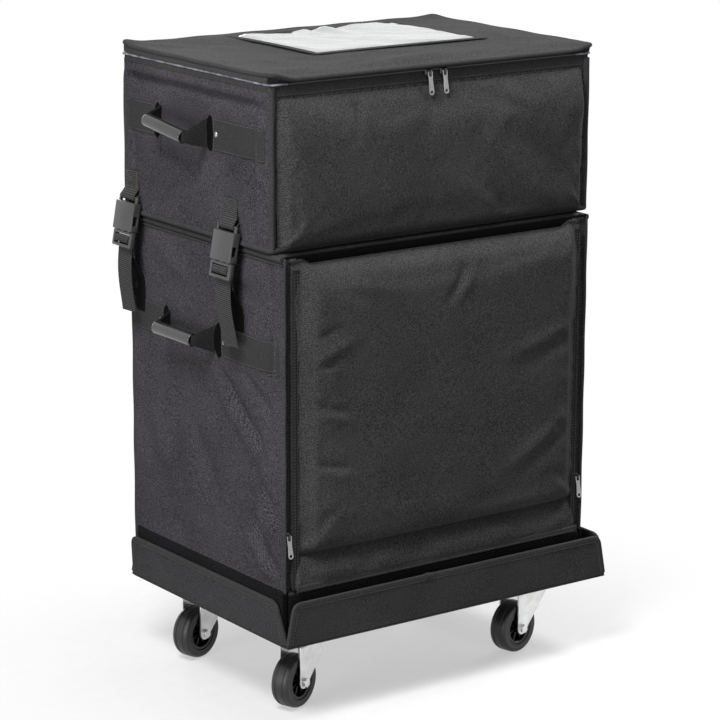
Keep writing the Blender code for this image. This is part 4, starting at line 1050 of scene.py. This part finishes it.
def buckle(name, on, sign, lower_x, y, drift):
    """One buckle, its tab on the upper wall and its strap, whose tail drifts sideways."""
    refined(f"{name}_female", f"{name}_socket", 0.0009, "buckle", "upper_case", "buckle_plastic")
    refined(f"{name}_male", f"{name}_plug_body", 0.0007, "buckle", f"{name}_plug", "buckle_plastic")

    def placed(path, drift=0.0):
        """A path of (distance out, height) in the part's frame; a hanging end drifts sideways."""
        hung = smooth(HANG_Z - path[:, 1], 0.0, 0.12) * (path[:, 0] > 0.012)
        return np.stack([sign * (UP_R + path[:, 0]), y + drift * hung, path[:, 1]], 1)

    def off_wall(z):
        return sign * on_wall(on, sign * y, z)[..., 0] - UP_R

    z = np.linspace(TAB_HIGH, TAB_LOW, 8)
    sewn = list(zip(off_wall(z) + 0.0012, z))
    loop = [leaning(TAB_LOOP * math.cos(a), TAB_LOOP * math.sin(a))
            for a in np.radians(np.arange(150, 391, 20))]
    strap(f"{name}_tab", placed(smoothed(sewn + loop + [(off_wall(TAB_FOOT), TAB_FOOT)])), Y, STRAP_W,
          WEB_T * 1.1, "webbing_z", "upper_case", "webbing")
    a, b, c, d = ((sign * (y + across), high) for across, high in TAB_BOX)
    rows = [(wall_line(on, start, stop, 0.0024), (sign, 0, 0))
            for start, stop in ((a, b), (b, c), (c, d), (d, a), (a, c), (b, d))]
    stitches(f"{name}_tab_stitches", rows, "upper_case", pitch=0.003, length=0.0022)

    anchor = sign * lower_x - UP_R + 0.0011
    made = strap(f"{name}_webbing", placed(smoothed(strap_points(anchor)), drift), Y, STRAP_W, WEB_T,
                 "webbing_z", "lower_case", "webbing", ride=False)
    # Faces of the rise behind the tail, low and close to the wall, take the near-black webbing as
    # painted shade
    made.data.materials.append(M["webbing_painted_shade"])
    for face in made.data.polygons:
        out, high = abs(face.center.x) - UP_R, face.center.z
        face.material_index = int(high < SHADE_Z and out < RISE_OUT)
    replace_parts(made, f"{name}_strap")
    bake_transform(made)


buckles()


# Carrying handles

GRIP_L, STAND, SLOT_AT = 0.1, 0.033, 0.071
WING_END, WING_FOOT, WING_H, FOLDED_H = 0.07, 0.066, 0.048, 0.0135
SLUMP = 0.12
BAND_HALF, BAND_T, BAND_GAP, RIVET_GAP = 0.024, 0.0011, 0.007, 0.016
GRIP_PROFILE = [(8, 50), (9.3, 50), (9.9, 49.3), (10, 48), (10, 0),
                (10, -48), (9.9, -49.3), (9.3, -50), (8, -50)]
RIVET_PROFILE = [(0, 2.4), (1.8, 2.2), (3.4, 1.5), (4.3, 0.6), (4.5, -0.6),
                 (0, -0.6)]
SLOT_RINGS = ((1.0, 0.0004), (0.93, 0.0016), (0.8, 0.0012), (0.0, 0.001))


def handle_webbing(place, sign, tilt):
    """Rings of the webbing that leaves the wall as two wings and runs folded through the grip."""
    share = np.linspace(-1, 1, 11)
    rings = []
    for a in np.linspace(-WING_END, WING_END, 87):
        wing = np.clip((abs(a) - GRIP_L / 2) / (WING_FOOT - GRIP_L / 2), 0, 1)
        ease = wing * wing * (3 - 2 * wing)
        out = -0.003 + (STAND + 0.003) * (1 - ease)
        height = FOLDED_H + (WING_H - FOLDED_H) * ease ** 0.8
        thick = WEB_T + 0.006 * (1 - ease)
        bent = out - 0.0045 * math.sin(math.pi * wing) * share ** 2
        rise = share * height / 2 + tilt * a * (1 - ease)
        front, back = (np.stack([sign * (bent + skin), np.full(11, a), rise], 1)
                       for skin in (thick / 2, -thick / 2))
        rings.append(np.concatenate([front, back[::-1]]))
    return np.array(rings) + place


def slot(name, on, u, v):
    """The mouth in the fabric that a handle's webbing comes out of: a near-black lens on the wall as
    painted shade.
    """
    turn = np.linspace(0, TAU, 28, endpoint=False)
    across, up = 0.0095 * np.cos(turn), 0.0265 * np.sin(turn)
    rings = [on_wall(on, u + share * across, v + share * up, lift) for share, lift in SLOT_RINGS]
    Shape().grid(rings, wrap_v=True).piece(name, "dark", case_of(on))


def rivet(name, on, u, v, sign):
    """A domed rivet that holds a handle's webbing."""
    turned = Matrix.Translation(on_wall(on, u, v, 0.001)) @ Matrix.Rotation(sign * math.pi / 2, 4, "Y")
    shape = Shape().lathe(RIVET_PROFILE, 20, turned, closed=False)
    shape.piece(name, "nickel", case_of(on), "zinc", sharp_deg=60)


def handle(case, side, sign, x, y, z, ends):
    """A grip on its folded webbing, and on each side of it a sewn band, a slot and a rivet."""
    body, on = f"handle_{case}_{side}", f"{case}_wall_{side}"
    tilt = SLUMP if (case, side) == ("upper", "left") else 0.0
    turned = (Matrix.Translation((x + sign * STAND, y, z))
              @ Matrix.Rotation(math.pi / 2 + math.atan(tilt), 4, "X"))
    grip = Shape().lathe(GRIP_PROFILE, 40, turned)
    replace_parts(grip.piece(f"{body}_tube", "grip", body, "grip_plastic", sharp_deg=50), f"{body}_grip")
    rings = handle_webbing((x, y, z), sign, tilt)
    shape = Shape().grid(rings, wrap_v=True).cap(rings[0]).cap(rings[-1])
    made = shape.piece(f"{body}_webbing", "wing", body, "webbing", sharp_deg=60, ride=False)
    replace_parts(made, f"{body}_strap")
    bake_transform(made)

    for end, way, far in (("front", -1, ends[0] + 0.012), ("back", 1, ends[1] - 0.012)):
        foot = y + way * SLOT_AT
        inner = sign * (foot + way * BAND_GAP)
        low, high = sorted((inner, sign * far))
        patch(f"{body}_band_{end}", on, (low, z - BAND_HALF), (high, z + BAND_HALF), BAND_T,
              "webbing_y", "webbing", coarse=0.01)
        seam = inner + sign * way * 0.003
        rows = [((low + 0.002, z + h), (high - 0.002, z + h)) for h in (-0.0215, 0.0215)]
        rows.append(((seam, z - 0.02), (seam, z + 0.02)))
        seams = [(wall_line(on, *row, STITCH_LIFT, 0.01), (sign, 0, 0)) for row in rows]
        stitches(f"{body}_band_{end}_stitches", seams, case_of(on))
        slot(f"{body}_slot_{end}", on, sign * foot, z)
        rivet(f"{body}_rivet_{end}", on, sign * (foot + way * RIVET_GAP), z, sign)


for case, (left, right, y, z) in HANDLES.items():
    ends = (UP_F, UP_B) if case == "upper" else (LO_F, LO_B)
    handle(case, "left", -1, left, y, z, ends)
    handle(case, "right", 1, right, y, z, ends)


# Tray, skirts and loop tape

SKIRTS = {"front": (0, 0.6, 0.216, 0.0), "right": (90, 0.423, 0.3, 0.05),
          "back": (180, 0.6, 0.216, 0.0), "left": (270, 0.423, 0.3, 0.02)}
CUTS = {"left": (0.003, 0.02)}
LEAN_OUT = {"left": 0.005}


def skirt(side, turn, length, reach, drop):
    """A stiff bound fabric wall along one edge of the tray; drop lowers its left end."""
    body, half = f"skirt_{side}", length / 2
    turned = Matrix.Rotation(math.radians(turn), 3, "Z")
    along, out = turned @ X, turned @ -Y
    origin = Vector((TRAY_X, 0, TRAY_Z)) + out * reach
    plane = (origin, along, Z, out)
    cut_low, cut_high = CUTS.get(side, (SKIRT_CUT, SKIRT_CUT))
    panel = Panel(plane, (-half, 0), (half, SKIRT_H), corner=0.011, low_corner=0.0005, edge=0.012,
                  edge_count=6, coarse=0.01)
    u, v = panel.u, panel.v

    def tall(u):
        return SKIRT_H * (1 - drop * (half - u) / length)

    def tipped(v):
        return LEAN_OUT.get(side, 0.0) * v / SKIRT_H

    def edge(inset, depth):
        """A line round the skirt's two ends and top, inset from its edge."""
        foot, low, high = 0.004, -half + inset, half - inset
        corners = [(low, foot), (low + cut_low, tall(-half) - inset),
                   (high - cut_high, tall(half) - inset), (high, foot)]
        u, v = rounded_path(corners, 0.01, 0.006).T
        return in_plane(plane, u, v, depth + tipped(v))

    panel.pu += (cut_low * (half - u) - cut_high * (half + u)) / length * v / SKIRT_H
    panel.pv *= tall(u) / SKIRT_H
    face = tipped(v) + 0.0018 * (dome(panel.d, 0.0018) - 1) + smooth(panel.d, 0.0, 0.012) * (
        0.0005 * ripple(u, v, 0.16, 90 + turn) + 0.0002 * ripple(u, v, 0.05, 91 + turn))
    made = panel.slab(f"{body}_panel", face, tipped(v) - SKIRT_T, "skirt", body)
    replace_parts(made, body)

    binding = Shape().sweep(edge(0.0042, -SKIRT_T / 2), out, box_profile(0.0056, 0.0096, 0.0015))
    if side == "front":
        joint = origin + along * -0.045 + Z * (SKIRT_H - 0.0042) - out * (SKIRT_T / 2)
        binding.sweep(line(joint - along * 0.005, joint + along * 0.005), out,
                      box_profile(0.0074, 0.0114, 0.0015))
    binding.piece(f"{body}_binding", "binding", body, weld=0)
    stitches(f"{body}_stitches", [(edge(0.0078, 0.0011), out)], body, pitch=0.005)
    foot = origin - out * 0.0036 - Z * 0.0006
    span = half - (0.001 if side in ("front", "back") else 0.0035)
    strap(f"{body}_hinge", line(foot - along * span, foot + along * span, 0.02), out, 0.0076, 0.0016,
          "skirt", "base")


def loop_tape():
    """The tape round the lower case that the skirts fasten to."""
    for side, low, high in (("left", -LO_B + 0.01, -LO_F - 0.004),
                            ("right", LO_F + 0.004, LO_B - 0.01)):
        patch(f"loop_tape_{side}", f"lower_wall_{side}", (low, LOOP_LOW), (high, LOOP_TOP), 0.0016,
              "loop", coarse=0.01)
    patch("loop_tape_front", "lower_sill", (LO_L + 0.005, LOOP_LOW), (LO_R - 0.005, SILL_TOP - 0.003),
          0.0014, "loop")
    patch("loop_tape_back", "lower_wall_back", (-LO_R + 0.016, LOOP_LOW), (-LO_L - 0.016, LOOP_TOP),
          0.0014, "loop")
    for side, k, sign in LEFT_RIGHT:
        spot = (LO_L, LO_R)[k] + sign * 0.003, LO_F + 0.003
        tube(f"corner_tape_{side}", line((*spot, 0.13), (*spot, LOOP_TOP - 0.003), 0.02), 0.0044,
             "dark", "lower_case")


refined("tray_floor", "tray_floor_cover", 0.002, "skirt", "base", "fabric")
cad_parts["base_board"].data.materials[0] = M["board"]
for side, sizes in SKIRTS.items():
    skirt(side, *sizes)
loop_tape()


# Casters

CASTERS = {"fl": (-1, -1, 21), "fr": (1, -1, 13), "bl": (-1, 1, 17), "br": (1, 1, 17)}
CASTER_X, CASTER_Y = 0.21, 0.133
WHEEL_TRAIL, WHEEL_Z = 0.033, 0.04
RIBS = 8


def mirrored(half):
    """A closed lathe profile from its upper half."""
    return half + [(r, -z) for r, z in reversed(half)]


TYRE_PROFILE = mirrored([
    (27.3, 13), (28.2, 14.4), (30.3, 14.8), (31.2, 14.4), (32, 14.8),
    (34.5, 15), (36.2, 14.9), (38, 14), (39.1, 12.2), (39.7, 10),
    (40, 8.6), (39.9, 7.8), (39, 7.2), (39, 5.8), (39.9, 5.2),
    (40, 4)])
HUB_PROFILE = mirrored([
    (27, 13), (26.2, 13.4), (23.2, 13.4), (22.5, 12.6), (22.2, 1.75),
    (9.2, 1.75), (8.8, 15.8), (8.2, 16.5), (4.3, 16.5)])


def casters():
    """Four swivel casters: a grooved tyre on a ribbed hub, in the CAD's fork under its plate."""
    for corner, (sx, sy, yaw) in CASTERS.items():
        name, wheel = f"caster_{corner}", f"wheel_{corner}"
        place = Vector((TRAY_X + sx * CASTER_X, sy * CASTER_Y, 0))
        axle = (Matrix.Translation(place) @ Matrix.Rotation(math.radians(yaw), 4, "Z")
                @ Matrix.Translation((-WHEEL_TRAIL, 0, WHEEL_Z)) @ Matrix.Rotation(math.pi / 2, 4, "X"))
        tyre = Shape().lathe(TYRE_PROFILE, 72, axle)
        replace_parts(tyre.piece(f"{name}_tyre_rubber", "tyre", wheel, "tyre"), f"{name}_tyre")
        hub = Shape().lathe(HUB_PROFILE, 64, axle)
        for k in range(RIBS):
            rib = axle @ Matrix.Rotation((k + 0.5) * TAU / RIBS, 4, "Z")
            path = moved(line((0.007, 0, 0), (0.024, 0, 0)), rib)
            hub.sweep(path, rib.to_3x3() @ Z, box_profile(0.018, 0.002, 0.0006))
        made = hub.piece(f"{name}_hub_nylon", "hub", wheel, "hub_plastic", weld=0, sharp_deg=35)
        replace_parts(made, f"{name}_hub")
        refined(f"{name}_axle", f"{name}_bolt", 0.0006, "zinc", name, "zinc")
        refined(f"{name}_fork", f"{name}_fork_sheet", 0.0007, "zinc", name, "zinc")
        refined(f"{name}_plate", f"{name}_plate_sheet", 0.0006, "zinc", "base", "zinc")


casters()


# Camera, floor and light

CAMERA_PLACE = (-2.5394, -3.5145, 1.5524)
CAMERA_YAW, CAMERA_PITCH, CAMERA_ROLL = (math.radians(a) for a in (35.79, 14.0556, 0.2257))
CAMERA_LENS = 2917.18 / 720 * 36
FLOOR_HALF, FLOOR_Z = 8, -0.0005
LIGHTS = {
    "key_left": ((-1.75, -0.95, 3.1), 0.5, 1.1, 80), "top_right": ((1.6, -0.5, 3.0), 0.5, 1.0, 48),
    "low_left": ((-1.9, -0.4, 0.45), 0.45, 0.8, 12.5), "low_front": ((-0.6, -3.2, 1.2), 0.5, 1.8, 10),
    "right_fill": ((3.2, 0.8, 1.1), 0.5, 1.8, 45), "back_fill": ((0.6, 3.2, 1.1), 0.5, 1.8, 45),
}


def camera():
    """The camera that was solved from the corners of the case in the photo."""
    data = bpy.data.cameras.new("photo_camera")
    data.lens = CAMERA_LENS
    data.sensor_width = 36
    made = in_scene("photo_camera", data)
    made.matrix_world = (
        Matrix.Translation(CAMERA_PLACE) @ Matrix.Rotation(-CAMERA_YAW, 4, "Z")
        @ Matrix.Rotation(math.pi / 2 - CAMERA_PITCH, 4, "X") @ Matrix.Rotation(CAMERA_ROLL, 4, "Z"))
    SCENE.camera = made


def area_light(name, place, target_z, size, power):
    """A square lamp that points at a height on the part's middle line."""
    data = bpy.data.lights.new(name, "AREA")
    data.shape = "SQUARE"
    data.size = size
    data.energy = power
    made = in_scene(name, data)
    made.location = place
    made.rotation_euler = (Vector((0, 0, target_z)) - Vector(place)).to_track_quat("-Z", "Y").to_euler()


def seen_directly(tree):
    """1 for rays that come from the camera, from a gloss or through glass."""
    rays = tree.add("LightPath").outputs
    seen = tree.math("MAXIMUM", rays["Is Camera Ray"], rays["Is Transmission Ray"])
    return tree.math("MAXIMUM", seen, rays["Is Glossy Ray"])


def backdrop():
    """A world that is white to the camera and lights the part softly."""
    SCENE.world = bpy.data.worlds.new("studio")
    SCENE.world.use_nodes = True
    tree = Nodes(SCENE.world.node_tree)
    level = tree.add("MapRange", value=seen_directly(tree), to_min=0.13, to_max=1.0)
    tree.feed(tree.nodes["Background"], color=(1, 1, 1, 1), strength=level.outputs[0])


def floor():
    """Pale paper that fades to white away from the part and keeps its shadow."""
    made, tree, node = shader("floor_paper", (0.62, 0.62, 0.62), 0.9, specular_ior_level=0.0)
    spot = tree.spot()
    seen = seen_directly(tree)
    paper = tree.ramp(tree.noise(spot, 40), 0.3, 0.7, grey(0.9), grey(0.94))
    pale = tree.add("Mix")
    pale.data_type = "RGBA"
    tree.feed(pale, factor=seen, a=(*grey(0.25), 1), b=paper)
    tree.feed(node, base_color=pale.outputs["Result"])
    far = tree.add("VectorMath", vector=spot)
    far.operation = "LENGTH"
    fade = tree.add("MapRange", value=far.outputs["Value"], from_min=0.3, from_max=0.8, to_min=0.45)
    fade.interpolation_type = "SMOOTHSTEP"
    mix = tree.add("MixShader", fac=tree.math("MULTIPLY", fade.outputs[0], seen))
    tree.link(node.outputs[0], mix.inputs[1])
    tree.link(tree.add("Emission").outputs[0], mix.inputs[2])
    tree.feed(tree.nodes["Material Output"], surface=mix.outputs[0])
    mesh = bpy.data.meshes.new("studio_floor")
    corners = rectangle(-FLOOR_HALF, FLOOR_HALF, -FLOOR_HALF, FLOOR_HALF, FLOOR_Z)
    mesh.from_pydata(corners, [], [(0, 1, 2, 3)])
    mesh.materials.append(made)
    in_scene("studio_floor", mesh)


camera()
backdrop()
floor()
for name, (place, target_z, size, power) in LIGHTS.items():
    area_light(name, place, target_z, size, power)
SCENE.view_settings.view_transform = "Standard"
